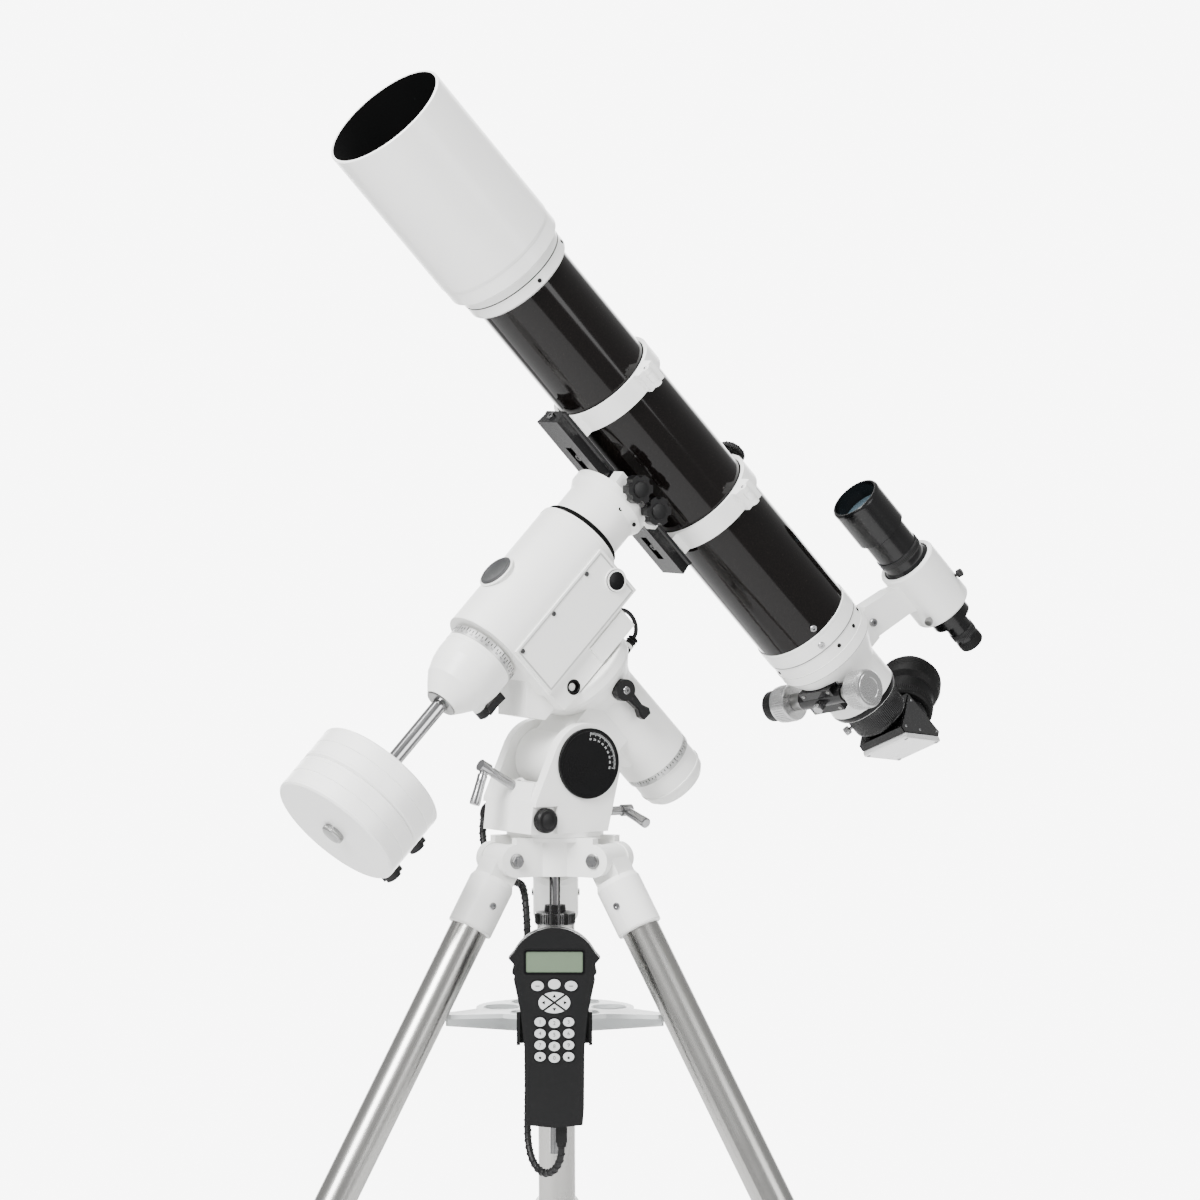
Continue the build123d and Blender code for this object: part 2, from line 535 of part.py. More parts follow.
BOSS_WAY = DEC * cos(radians(19)) + Vector(0, sin(radians(19)), 0)
BOSS_TOP = 74.0


def ring_top(name, station):
    """Upper half of a tube ring, with its clamp knob on the far lug."""
    low = station - RING_WIDTH / 2
    high = station + RING_WIDTH / 2
    seam = HINGE_HEIGHT_ON_RING + GAP
    screw = Plane(origin=at(station, TUBE_AXIS, RING_LUG_Y), z_dir=DEC)
    with BuildPart() as top:
        tube(OPTICAL, RING_OUTER + 0.5, RING_INNER + GAP, low, high)
        block(OPTICAL, (seam + 6, RING_HINGE_Y + 6), (12, 20), low, high)
        block(OPTICAL, (seam + 6, RING_LUG_Y - 4), (12, 20), low, high)
        rod(OPTICAL, RING_INNER + GAP, low - 1, high + 1, Mode.SUBTRACT)
        block(OPTICAL, (seam - 50, 0), (100, 240), low - 1, high + 1, Mode.SUBTRACT)
        rod(screw, 3.05, 0, 60, Mode.SUBTRACT)
        rod(Plane(origin=at(station, TUBE_AXIS), z_dir=BOSS_WAY), 9, RING_OUTER - 3, BOSS_TOP)
        rod(ring_pivot(station), KNUCKLE_RADIUS + GAP, -RING_WIDTH / 2 - 1, -KNUCKLE_HALF, Mode.SUBTRACT)
        rod(ring_pivot(station), KNUCKLE_RADIUS + GAP, KNUCKLE_HALF, RING_WIDTH / 2 + 1, Mode.SUBTRACT)
        rod(ring_pivot(station), KNUCKLE_RADIUS, -KNUCKLE_HALF, KNUCKLE_HALF)
    save(top, f"ring_top_{name}")
    with BuildPart() as knob:
        rod(screw, 3, 8, 34)
        rod(screw, 7, seam + 12.4, 34)
        turned(screw, [(0, 34), (11, 34), (12.8, 36), (12.8, 43), (10, 46), (0, 46)])
    save(knob, f"ring_knob_{name}")


ring_top("rear", RING_STATIONS[0])
ring_top("front", RING_STATIONS[1])

with BuildPart() as camera_screw:
    top_boss = Plane(origin=at(RING_STATIONS[0], TUBE_AXIS), z_dir=BOSS_WAY)
    rod(top_boss, 5, BOSS_TOP, BOSS_TOP + 5)
    lobed_knob(top_boss, 17, 12, BOSS_TOP + 5, BOSS_TOP + 14)
    rod(top_boss, 3, BOSS_TOP + 14, BOSS_TOP + 20)
save(camera_screw, "camera_screw")

with BuildPart() as optical_tube:
    tube(OPTICAL, TUBE_RADIUS - 0.05, TUBE_RADIUS - 2, TUBE_REAR, TUBE_FRONT)
save(optical_tube, "optical_tube")

CELL_RADIUS = 67.0
LENS_RADIUS = 60.0
with BuildPart() as lens_cell:
    turned(OPTICAL, [(TUBE_RADIUS - 0.05, 272), (CELL_RADIUS - 1, 272), (CELL_RADIUS, 273), (CELL_RADIUS, 312),
                     (LENS_RADIUS, 312), (LENS_RADIUS, TUBE_FRONT), (TUBE_RADIUS - 0.05, TUBE_FRONT)])
save(lens_cell, "lens_cell")

with BuildPart() as objective_lens:
    turned(OPTICAL, [(0, 286), (LENS_RADIUS, 289), (LENS_RADIUS, 302), (40, 306), (20, 308), (0, 308.6)])
save(objective_lens, "objective_lens")

with BuildPart() as dew_shield:
    turned(OPTICAL, [(CELL_RADIUS, 300), (SHIELD_RADIUS - 2, 300), (SHIELD_RADIUS - 1, 301),
                     (SHIELD_RADIUS - 1, 321), (SHIELD_RADIUS, 322), (SHIELD_RADIUS, SHIELD_FRONT - 1),
                     (SHIELD_RADIUS - 1, SHIELD_FRONT), (SHIELD_RADIUS - 2.5, SHIELD_FRONT),
                     (SHIELD_RADIUS - 2.5, 312), (CELL_RADIUS, 312)])
save(dew_shield, "dew_shield")

DRAW_RADIUS = 32.0
NECK_END = -428.0
PINION_OUT = 46.0                        # pinion shaft below the optical axis
pinion_way = (-DEC) * cos(radians(FOCUSER_TILT)) + NEAR * sin(radians(FOCUSER_TILT))
shaft_way = DEC * sin(radians(FOCUSER_TILT)) + NEAR * cos(radians(FOCUSER_TILT))
PINION = Plane(origin=at(FOCUS_STATION, TUBE_AXIS) + pinion_way * PINION_OUT, x_dir=POLE, z_dir=shaft_way)
PINION_MOUNT = Plane(origin=at(FOCUS_STATION, TUBE_AXIS), x_dir=POLE, z_dir=pinion_way)

with BuildPart() as focuser_body:
    turned(OPTICAL, [(TUBE_RADIUS, TUBE_REAR), (62, TUBE_REAR), (62, -313), (61.2, -314), (61.2, -330),
                     (62, -331), (62, -343), (57, -352), (47, -372), (44, -380), (44, NECK_END + 6),
                     (42, NECK_END), (0, NECK_END), (0, -316), (TUBE_RADIUS - 2, -316), (TUBE_RADIUS - 2, TUBE_REAR)])
    block(PINION_MOUNT, (0, 0), (40, 52), 30, 40)
    block(DEC_AXIS.offset(TUBE_AXIS), (-366, 0), (36, 30), 42, 58)
    rod(OPTICAL, DRAW_RADIUS + 0.08, NECK_END - 1, -310, Mode.SUBTRACT)
    rod(PINION, 12.4, -60, 60, Mode.SUBTRACT)
    block(PINION_MOUNT, (0, 0), (36, 60), 40, 60, Mode.SUBTRACT)
    block(PINION_MOUNT, (0, 0), (24, 12), 20, 50, Mode.SUBTRACT)
save(focuser_body, "focuser_body")

with BuildPart() as pinion_housing:
    rod(PINION, 12, -34, 34)
    block(PINION_MOUNT, (0, 0), (34, 50), 40.2, PINION_OUT + 10)
    rod(PINION, 4.05, -60, 60, Mode.SUBTRACT)
    block(PINION_MOUNT, (0, 0), (24, 12), 20, 50, Mode.SUBTRACT)
save(pinion_housing, "pinion_housing")

with BuildPart() as draw_tube:
    tube(OPTICAL, DRAW_RADIUS, 26, -428.4, -318)
    turned(OPTICAL, [(26, -462), (33, -462), (34.5, -460), (34.5, -429), (26, -429)])
save(draw_tube, "draw_tube")

with BuildPart() as focus_knobs:
    rod(PINION, 4, -58, 58)
    turned(PINION, [(0, 50), (22, 50), (23, 51), (23, 72), (21, 74), (0, 74)])
    turned(PINION, [(0, -50), (21, -50), (22, -51), (22, -72), (0, -72)])
    turned(PINION, [(0, -71), (14, -71), (14, -72.4), (17, -72.4), (18, -74), (18, -88), (16, -90), (0, -90)])
save(focus_knobs, "focus_knobs")

# ---- diagonal and eyepiece ----------------------------------------------
eye_way = DEC * cos(radians(DIAGONAL_TILT)) + Vector(0, sin(radians(DIAGONAL_TILT)), 0)
MIRROR_STATION = -500.0
EYE = Plane(origin=at(MIRROR_STATION, TUBE_AXIS), x_dir=POLE, z_dir=eye_way)
DIAGONAL_SIDE = Plane(origin=EYE.origin, x_dir=POLE, z_dir=POLE.cross(eye_way))

with BuildPart() as diagonal:
    slab(DIAGONAL_SIDE, [(34, -32), (34, 32), (-34, 32), (-34, 24), (26, -34)], -30, 30)
    rod(OPTICAL, 25.9, -470, -440)
    rod(EYE, 27, 30, 50)
save(diagonal, "diagonal")

with BuildPart() as eyepiece:
    turned(EYE, [(0, 50.3), (31, 50.3), (33, 53), (33, 66), (31, 68), (31, 84), (36, 90), (37.5, 98), (36.5, 114),
                 (31, 122), (22, 125), (20, 117), (0, 117)])
save(eyepiece, "eyepiece")

# ---- finder -------------------------------------------------------------
with BuildPart() as finder_bracket:
    turned(FINDER, [(31, -433), (35.5, -433), (36.5, -431), (36.5, -357), (35.5, -355), (31, -355)])
    slab(SIDE, [(-352, 314.2), (-384, 314.2), (-387, 326), (-398, 366), (-404, 378), (-364, 378), (-358, 366),
                (-345, 326)], -11, 11)
    rod(FINDER, 31, -440, -350, Mode.SUBTRACT)
save(finder_bracket, "finder_bracket")

with BuildPart() as finder_scope:
    turned(FINDER, [(0, -432), (30.99, -432), (30.99, -424), (27, -424), (27, -364), (30.99, -364), (30.99, -358),
                    (27, -352), (27, -304), (31.5, -301), (31.5, -249), (30, -247), (28, -247), (28, -268),
                    (0, -268)])
    turned(FINDER, [(0, -497), (14, -497), (15, -495), (15, -456), (25, -452), (25, -431), (0, -431)])
save(finder_scope, "finder_scope")

# ---- handset on its holder ----------------------------------------------
handset_way = radial(HANDSET_AZIMUTH)
handset_right = Vector(0, 0, 1).cross(handset_way)
HANDSET = Plane(origin=handset_way * HANDSET_DISTANCE + Vector(0, 0, HANDSET_BOTTOM), x_dir=handset_right,
                z_dir=handset_way)
HANDSET_HALF = 15.0

KEY_PITCH = (16.2, 13.2)


def key_caps(extra, mode=Mode.ADD):
    """Keys seated 1 mm into the handset's face; extra widens them into pockets."""
    with BuildSketch(HANDSET.offset(HANDSET_HALF - 1)) as caps:
        for column in (-1, 0, 1):
            with Locations((column * 19, 164 - 2 * abs(column))):
                Ellipse(7 + extra, 5.6 + extra)
            for row in range(4):
                with Locations((column * KEY_PITCH[0], 121 - row * KEY_PITCH[1] - (1.5 if column == 0 else 0))):
                    Ellipse(6.3 + extra, 5.2 + extra)
        with Locations((0, 143)):
            Ellipse(18 + extra, 12 + extra)
            Rectangle(44, 2.4 - 2 * extra, rotation=36, mode=Mode.SUBTRACT)
            Rectangle(44, 2.4 - 2 * extra, rotation=-36, mode=Mode.SUBTRACT)
    extrude(caps.sketch, amount=3, mode=mode)


with BuildPart() as handset:
    with BuildSketch(HANDSET.offset(-HANDSET_HALF)) as outline:
        with BuildLine():
            left = Polyline((0, 0), (-32, 3), (-33.5, 22), (-34, 90), (-38, 130), (-46, 168), (-45, 173),
                            (-48, 176), (-46, 186), (-52, 193), (-46, 200))
            crown = ThreePointArc((-46, 200), (0, HANDSET_HEIGHT), (46, 200))
            mirror(left, about=Plane.YZ)
        make_face()
    extrude(outline.sketch, amount=2 * HANDSET_HALF)
    block(HANDSET, (0, 189), (66, 25), HANDSET_HALF - 1, HANDSET_HALF + 1, Mode.SUBTRACT)
    key_caps(0.2, Mode.SUBTRACT)
save(handset, "handset")

with BuildPart() as handset_keys:
    key_caps(0)
save(handset_keys, "handset_keys")


# Holder clipped round the handset, with the wires that hang it from the tripod head.
hang_low = handset_way * (HANDSET_DISTANCE - HANDSET_HALF - 2.6) + Vector(0, 0, HANDSET_BOTTOM + 127)
hang_high = handset_way * 38 + Vector(0, 0, HUB_BOTTOM + 2)
with BuildPart() as handset_holder:
    block(HANDSET, (0, 112), (86, 38), -HANDSET_HALF - 5, -HANDSET_HALF - 0.2)
    for side in (-1, 1):
        block(HANDSET, (side * 41, 112), (4, 38), -HANDSET_HALF - 5, 4)
    block(HANDSET, (0, 90), (24, 8), -HANDSET_HALF - 5, -HANDSET_HALF - 0.2)
    for side in (-5, 5):
        foot = hang_low + handset_right * side
        head = hang_high + handset_right * side
        rod(Plane(origin=foot, z_dir=head - foot), 1.2, 0, (head - foot).length)
save(handset_holder, "handset_holder")

PLUG_X = 8.0
PLUG_LENGTH = 18.0
SOCKET = Plane(origin=(-22, 0, 786), z_dir=(0, 1, 0))
with BuildPart() as handset_plug:
    block(Plane(origin=HANDSET.origin, x_dir=handset_right, z_dir=(0, 0, -1)), (PLUG_X, 0), (13, 12), 0, PLUG_LENGTH)
save(handset_plug, "handset_plug")

with BuildPart() as control_plug:
    rod(SOCKET, 8.5, CHEEK_OUTER, CHEEK_OUTER + 4)
    rod(SOCKET, 6.5, CHEEK_OUTER + 4, CHEEK_OUTER + 24)
save(control_plug, "control_plug")


def beside_handset(right, out, height):
    """Point by its distances to the right, out from the tripod axis and up."""
    return handset_right * right + handset_way * out + Vector(0, 0, height)


HANDSET_CORD = [
    beside_handset(PLUG_X, HANDSET_DISTANCE, HANDSET_BOTTOM - PLUG_LENGTH),
    beside_handset(PLUG_X, HANDSET_DISTANCE, 396), beside_handset(5, 112, 384),
    beside_handset(-2, 103.5, 373), beside_handset(-12, 91, 369),
    beside_handset(-22, 77, 375), beside_handset(-29, 64, 390), beside_handset(-31.5, 56, 412),
    beside_handset(-31, 54, 440), beside_handset(-30.5, 53.5, 480), beside_handset(-31, 53.8, 530),
    beside_handset(-31.4, 53.2, 580), beside_handset(-31, 52.8, 625), beside_handset(-32, 50, 658),
    beside_handset(-34, 40, 681), beside_handset(-37, 22, 692), beside_handset(-42, 2, 694),
    beside_handset(-50, -18, 694),
    Vector(-30, 64, 701), Vector(-29.3, 79, 705), Vector(-28.4, 92.5, 711.3), Vector(-27.4, 103.5, 720),
    Vector(-26.3, 111.4, 731), Vector(-25.2, 115.9, 742.9), Vector(-24.1, 117.1, 754.8),
    Vector(-23.1, 115.2, 765.7), Vector(-22.4, 109.7, 775.2), Vector(-22.1, 101.3, 782.2), Vector(-22, 91, 786),
    Vector(-22, CHEEK_OUTER + 24, 786),
]
cord("handset_cord", HANDSET_CORD, 8.0, 24.0)
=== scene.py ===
from math import atan, cos, pi, radians, sin, tau

import bmesh
import bpy
from mathutils import Matrix, Vector


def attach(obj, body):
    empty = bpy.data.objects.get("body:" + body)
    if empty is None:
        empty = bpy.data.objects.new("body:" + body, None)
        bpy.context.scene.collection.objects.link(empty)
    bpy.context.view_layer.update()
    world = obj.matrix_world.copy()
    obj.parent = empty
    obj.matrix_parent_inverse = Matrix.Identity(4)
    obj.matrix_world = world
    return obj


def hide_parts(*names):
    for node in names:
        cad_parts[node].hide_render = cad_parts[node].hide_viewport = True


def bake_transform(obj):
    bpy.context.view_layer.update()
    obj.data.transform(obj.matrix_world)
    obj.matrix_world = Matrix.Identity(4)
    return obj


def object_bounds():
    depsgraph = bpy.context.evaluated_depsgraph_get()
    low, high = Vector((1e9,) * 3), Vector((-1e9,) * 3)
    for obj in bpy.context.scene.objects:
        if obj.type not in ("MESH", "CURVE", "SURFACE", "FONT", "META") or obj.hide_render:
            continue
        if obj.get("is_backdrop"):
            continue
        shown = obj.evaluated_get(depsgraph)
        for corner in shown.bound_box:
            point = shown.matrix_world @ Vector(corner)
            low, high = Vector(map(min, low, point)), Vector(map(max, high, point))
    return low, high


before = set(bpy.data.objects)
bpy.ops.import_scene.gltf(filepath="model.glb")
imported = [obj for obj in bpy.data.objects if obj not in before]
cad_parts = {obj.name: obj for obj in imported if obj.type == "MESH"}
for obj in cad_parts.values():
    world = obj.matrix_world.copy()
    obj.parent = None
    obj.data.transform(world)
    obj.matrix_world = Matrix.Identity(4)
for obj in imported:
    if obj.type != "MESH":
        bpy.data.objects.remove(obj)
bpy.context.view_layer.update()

# ---- places, as the CAD has them, in metres ------------------------------
LATITUDE = radians(45.5)
POLE = Vector((-cos(LATITUDE), 0, sin(LATITUDE)))
DEC = Vector((sin(LATITUDE), 0, cos(LATITUDE)))
NEAR = Vector((0, -1, 0))
FAR = Vector((0, 1, 0))
UP = Vector((0, 0, 1))
CROSS = Vector((-0.0425, 0, 1.017))
PIVOT = Vector((0.008, 0, 0.835))
LEG_AZIMUTHS = (56.5, 176.5, 296.5)


def at(pole, dec, far=0.0):
    """Point given in millimetres along the pole, the Dec axis and +Y."""
    return CROSS + (POLE * pole + DEC * dec + FAR * far) / 1000


def mm(x, y, z):
    return Vector((x, y, z)) / 1000


def frame_at(origin, z, x=None):
    """Matrix with its origin and axes at a place on the object."""
    z = Vector(z).normalized()
    x = Vector(x) if x is not None else (UP if abs(z.z) < 0.9 else Vector((1, 0, 0)))
    x = (x - z * x.dot(z)).normalized()
    y = z.cross(x)
    turned = Matrix((x, y, z)).transposed().to_4x4()
    turned.translation = origin
    return turned


OPTICAL = frame_at(at(0, 256), POLE, DEC)        # local x: Dec, y: +Y, z: along the tube
FINDER = frame_at(at(0, 411), POLE, DEC)
RA = frame_at(CROSS, POLE, DEC)
DEC_FRAME = frame_at(CROSS, DEC, POLE)

# ---- materials -----------------------------------------------------------
def material(name, color, rough, metal=0.0, grain=900.0, bump=0.08, spread=0.06, coat=0.0, tint=0.04,
      streak=None, fleck=0.0, glass=0.0, sheen=0.0, shine=0.5):
    """Principled material with grain, uneven roughness and slight colour variation.
    streak: an axis along which the grain is drawn out. shine: strength of the clear surface reflection."""
    made = bpy.data.materials.new(name)
    made.use_nodes = True
    tree = made.node_tree
    add, link = tree.nodes.new, tree.links.new
    shader = tree.nodes["Principled BSDF"]
    where = add("ShaderNodeTexCoord").outputs["Object"]
    plain = where
    if streak is not None:
        turn = add("ShaderNodeMapping")
        turn.vector_type = "TEXTURE"
        turn.inputs["Rotation"].default_value = Vector(streak).to_track_quat("Z", "Y").to_euler()
        turn.inputs["Scale"].default_value = (1, 1, 60)
        link(where, turn.inputs["Vector"])
        where = turn.outputs["Vector"]
    fine = add("ShaderNodeTexNoise")
    fine.inputs["Scale"].default_value = grain
    fine.inputs["Detail"].default_value = 4
    link(where, fine.inputs["Vector"])
    broad = add("ShaderNodeTexNoise")
    broad.inputs["Scale"].default_value = 9
    broad.inputs["Detail"].default_value = 5
    link(plain, broad.inputs["Vector"])
    both = add("ShaderNodeMath")
    both.operation = "MULTIPLY_ADD"
    both.inputs[1].default_value = 0.5
    link(fine.outputs["Fac"], both.inputs[0])
    link(broad.outputs["Fac"], both.inputs[2])
    level = add("ShaderNodeMapRange")
    level.inputs["From Min"].default_value = 0.45
    level.inputs["From Max"].default_value = 1.05
    level.inputs["To Min"].default_value = max(0.02, rough - spread)
    level.inputs["To Max"].default_value = min(1, rough + spread)
    link(both.outputs[0], level.inputs["Value"])
    link(level.outputs["Result"], shader.inputs["Roughness"])
    shade = add("ShaderNodeMix")
    shade.data_type = "RGBA"
    shade.inputs["A"].default_value = [c * (1 - tint) for c in color] + [1]
    shade.inputs["B"].default_value = [min(1, c * (1 + tint)) for c in color] + [1]
    link(broad.outputs["Fac"], shade.inputs["Factor"])
    colour = shade.outputs["Result"]
    if fleck:
        cells = add("ShaderNodeTexVoronoi")
        cells.inputs["Scale"].default_value = 2600
        link(plain, cells.inputs["Vector"])
        bright = add("ShaderNodeMapRange")
        bright.inputs["From Min"].default_value = 0.80
        bright.inputs["From Max"].default_value = 1.0
        bright.inputs["To Max"].default_value = fleck
        apart = add("ShaderNodeSeparateColor")
        link(cells.outputs["Color"], apart.inputs["Color"])
        link(apart.outputs["Red"], bright.inputs["Value"])
        spark = add("ShaderNodeMix")
        spark.data_type = "RGBA"
        spark.inputs["B"].default_value = (0.50, 0.40, 0.36, 1)
        link(bright.outputs["Result"], spark.inputs["Factor"])
        link(colour, spark.inputs["A"])
        colour = spark.outputs["Result"]
    link(colour, shader.inputs["Base Color"])
    rough_up = add("ShaderNodeBump")
    rough_up.inputs["Strength"].default_value = bump
    rough_up.inputs["Distance"].default_value = 0.0006
    link(fine.outputs["Fac"], rough_up.inputs["Height"])
    link(rough_up.outputs["Normal"], shader.inputs["Normal"])
    shader.inputs["Metallic"].default_value = metal
    shader.inputs["Coat Weight"].default_value = coat
    shader.inputs["Coat Roughness"].default_value = 0.06
    shader.inputs["Sheen Weight"].default_value = sheen
    shader.inputs["Specular IOR Level"].default_value = shine
    if glass:
        shader.inputs["Transmission Weight"].default_value = glass
        shader.inputs["IOR"].default_value = 1.5
    return made


WHITE = (0.86, 0.86, 0.84)
casting = material("casting_white", WHITE, 0.42, grain=700, bump=0.16, coat=0.12)
paint = material("satin_white", (0.87, 0.87, 0.855), 0.34, grain=1500, bump=0.04, coat=0.25)
tube_black = material("tube_black", (0.0030, 0.0024, 0.0022), 0.10, grain=1800, bump=0.006, spread=0.03,
      coat=0.18, fleck=0.012, shine=0.14)
matte_black = material("matte_black", (0.0015, 0.0015, 0.0015), 0.85, grain=1200, bump=0.3, spread=0.08,
      shine=0.1)
anodised = material("anodised_black", (0.003, 0.003, 0.0032), 0.22, grain=1400, bump=0.06, coat=0.1,
      shine=0.3)
plastic = material("black_plastic", (0.0035, 0.0035, 0.0037), 0.40, grain=1100, bump=0.22, shine=0.25)
smooth_plastic = material("dial_black", (0.0025, 0.0025, 0.0027), 0.3, grain=900, bump=0.06, coat=0.04,
      shine=0.12)
rubber = material("black_rubber", (0.004, 0.004, 0.004), 0.6, grain=1300, bump=0.35, shine=0.2)
chrome = material("bright_steel", (0.36, 0.36, 0.365), 0.17, metal=1, grain=500, bump=0.02, spread=0.05)
# Grey for the lip round the motor cover is painted shade: the real lip is white, and only the seam beside it
# looks dark.
painted_seam_shade = material("painted_seam_shade", (0.40, 0.40, 0.39), 0.45, grain=900, bump=0.05)
screw_grey = material("screw_grey", (0.07, 0.07, 0.07), 0.35, metal=0.7, grain=1400, bump=0.05)
satin_steel = material("satin_steel", (0.28, 0.28, 0.275), 0.32, metal=1, grain=1400, bump=0.08)
grey_plastic = material("dark_grey_plastic", (0.030, 0.031, 0.032), 0.45, grain=900, bump=0.15)
bar_grey = material("bar_grey", (0.10, 0.10, 0.105), 0.4, metal=0.6, grain=900, bump=0.1)
key_grey = material("key_grey", (0.50, 0.51, 0.51), 0.5, grain=1200, bump=0.12)
mark_black = material("mark_black", (0.002, 0.002, 0.002), 0.5, grain=900, bump=0.03, shine=0.2)
mark_white = material("mark_white", (0.8, 0.8, 0.78), 0.5, grain=900, bump=0.03)
scale_silver = material("scale_silver", (0.50, 0.50, 0.495), 0.34, metal=0.6, grain=1500, bump=0.05)
knob_silver = material("knob_silver", (0.46, 0.46, 0.46), 0.28, metal=0.9, grain=1500, bump=0.06)
back_silver = material("back_silver", (0.80, 0.80, 0.80), 0.3, metal=0.5, grain=1500, bump=0.05)
tray_white = material("milky_plastic", (0.60, 0.62, 0.62), 0.38, grain=500, bump=0.08, coat=0.1)
screen_green = material("lcd_green", (0.11, 0.15, 0.10), 0.18, grain=1600, bump=0.01, coat=0.6)
lens_glass = material("coated_glass", (0.62, 0.72, 0.70), 0.03, grain=300, bump=0.0, spread=0.01, glass=0.85)
eye_glass = material("eye_glass", (0.06, 0.09, 0.11), 0.05, grain=300, bump=0.0, spread=0.02, coat=1.0)
cord_rubber = material("cord_rubber", (0.004, 0.004, 0.0042), 0.5, grain=1200, bump=0.2, shine=0.3)
legs = {}
for number, azimuth in enumerate(LEG_AZIMUTHS, start=1):
    a = radians(azimuth)
    along = Vector((sin(radians(30)) * cos(a), sin(radians(30)) * sin(a), -cos(radians(30))))
    legs[number] = along
    steel = material(f"brushed_leg_{number}", (0.40, 0.395, 0.38), 0.27, metal=1, grain=1500, bump=0.04,
          spread=0.035, streak=along)
    finer = material(f"brushed_inner_leg_{number}", (0.46, 0.46, 0.45), 0.22, metal=1, grain=1500, bump=0.03,
          spread=0.03, streak=along)
    for node, look in ((f"leg_tube_{number}", steel), (f"leg_lower_{number}", finer)):
        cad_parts[node].data.materials.clear()
        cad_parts[node].data.materials.append(look)

LOOKS = {
    casting: "tripod_hub leg_castings_1 leg_castings_2 leg_castings_3 azimuth_base polar_housing polar_cap "
             "dec_housing saddle_head dec_cup motor_cover",
    paint: "ring_bases ring_top_rear ring_top_front lens_cell dew_shield focuser_body finder_bracket "
           "counterweight_lower counterweight_upper",
    tube_black: "optical_tube",
    chrome: "leg_bolts mount_bolt counterweight_shaft latitude_bolt_north latitude_bolt_south",
    knob_silver: "focus_knobs",
    tray_white: "accessory_tray",
    plastic: "azimuth_knob_near azimuth_knob_far ra_clutch_lever saddle_knob_upper saddle_knob_lower "
             "shaft_lock_lever counterweight_knob_lower counterweight_knob_upper ring_knob_rear "
             "ring_knob_front "
             "camera_screw handset handset_holder handset_plug control_plug",
    smooth_plastic: "latitude_dials",
    anodised: "dovetail_bar draw_tube pinion_housing diagonal finder_scope",
    lens_glass: "objective_lens",
    rubber: "eyepiece",
    key_grey: "handset_keys",
}
for look, nodes in LOOKS.items():
    for node in nodes.split():
        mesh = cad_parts[node].data
        mesh.materials.clear()
        mesh.materials.append(look)


# ---- shape helpers -------------------------------------------------------
def finish_piece(name, bm, place, look, body, bevel=0.0):
    """Turns a bmesh into a shaded object in its place, riding on a body."""
    bmesh.ops.remove_doubles(bm, verts=bm.verts, dist=1e-6)
    bmesh.ops.recalc_face_normals(bm, faces=bm.faces)
    mesh = bpy.data.meshes.new(name)
    bm.to_mesh(mesh)
    bm.free()
    mesh.transform(place)
    for face in mesh.polygons:
        face.use_smooth = True
    mesh.set_sharp_from_angle(angle=radians(32))
    mesh.materials.append(look)
    piece = bpy.data.objects.new(name, mesh)
    bpy.context.scene.collection.objects.link(piece)
    if bevel:
        edge = piece.modifiers.new("edges", "BEVEL")
        edge.width = bevel
        edge.segments = 2
        edge.limit_method = "ANGLE"
        edge.angle_limit = radians(40)
    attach(piece, body)
    return piece


def lathe(name, place, outline, look, body, segments=96):
    """Solid of revolution: (radius, height) pairs in millimetres about the place's z."""
    bm = bmesh.new()
    rings = []
    for radius, height in outline:
        if radius < 1e-6:
            rings.append([bm.verts.new((0, 0, height / 1000))] * segments)
            continue
        ring = []
        for step in range(segments):
            turn = tau * step / segments
            ring.append(bm.verts.new((radius * cos(turn) / 1000, radius * sin(turn) / 1000, height / 1000)))
        rings.append(ring)
    for first, second in zip(rings, rings[1:] + rings[:1]):
        if first[0] is first[1] and second[0] is second[1]:
            continue
        for step in range(segments):
            after = (step + 1) % segments
            corners = [first[step], first[after], second[after], second[step]]
            unique = list(dict.fromkeys(corners))
            if len(unique) > 2:
                bm.faces.new(unique)
    return finish_piece(name, bm, place, look, body)


def prism_into(bm, outline, low, high, turn=None):
    """Adds an extruded outline, in millimetres, to a bmesh."""
    turn = turn or Matrix.Identity(4)
    lower = [bm.verts.new(turn @ Vector((x / 1000, y / 1000, low / 1000))) for x, y in outline]
    upper = [bm.verts.new(turn @ Vector((x / 1000, y / 1000, high / 1000))) for x, y in outline]
    bm.faces.new(lower[::-1])
    bm.faces.new(upper)
    for index in range(len(outline)):
        after = (index + 1) % len(outline)
        bm.faces.new((lower[index], lower[after], upper[after], upper[index]))


def prism(name, place, outline, low, high, look, body, bevel=0.0):
    bm = bmesh.new()
    prism_into(bm, outline, low, high)
    return finish_piece(name, bm, place, look, body, bevel=bevel / 1000)


def circle(radius, count=48, centre=(0, 0)):
    return [(centre[0] + radius * cos(tau * k / count),
          centre[1] + radius * sin(tau * k / count)) for k in range(count)]


def rounded(width, height, radius, centre=(0, 0), steps=5):
    """Outline of a rectangle with round corners."""
    points = []
    for quarter, (sx, sy) in enumerate(((1, 1), (-1, 1), (-1, -1), (1, -1))):
        cx, cy = centre[0] + sx * (width / 2 - radius), centre[1] + sy * (height / 2 - radius)
        for step in range(steps + 1):
            angle = quarter * pi / 2 + step / steps * pi / 2
            points.append((cx + radius * cos(angle), cy + radius * sin(angle)))
    return points


def knurl(name, place, radius, low, high, teeth, depth, look, body):
    """Straight-knurled rim with chamfered ends."""
    bm = bmesh.new()
    outline = []
    for tooth in range(teeth):
        for part, reach in ((0.1, radius), (0.4, radius), (0.6, radius - depth), (0.9, radius - depth)):
            turn = tau * (tooth + part) / teeth
            outline.append((reach * cos(turn), reach * sin(turn)))
    prism_into(bm, outline, low, high)
    return finish_piece(name, bm, place, look, body, bevel=0.00025)


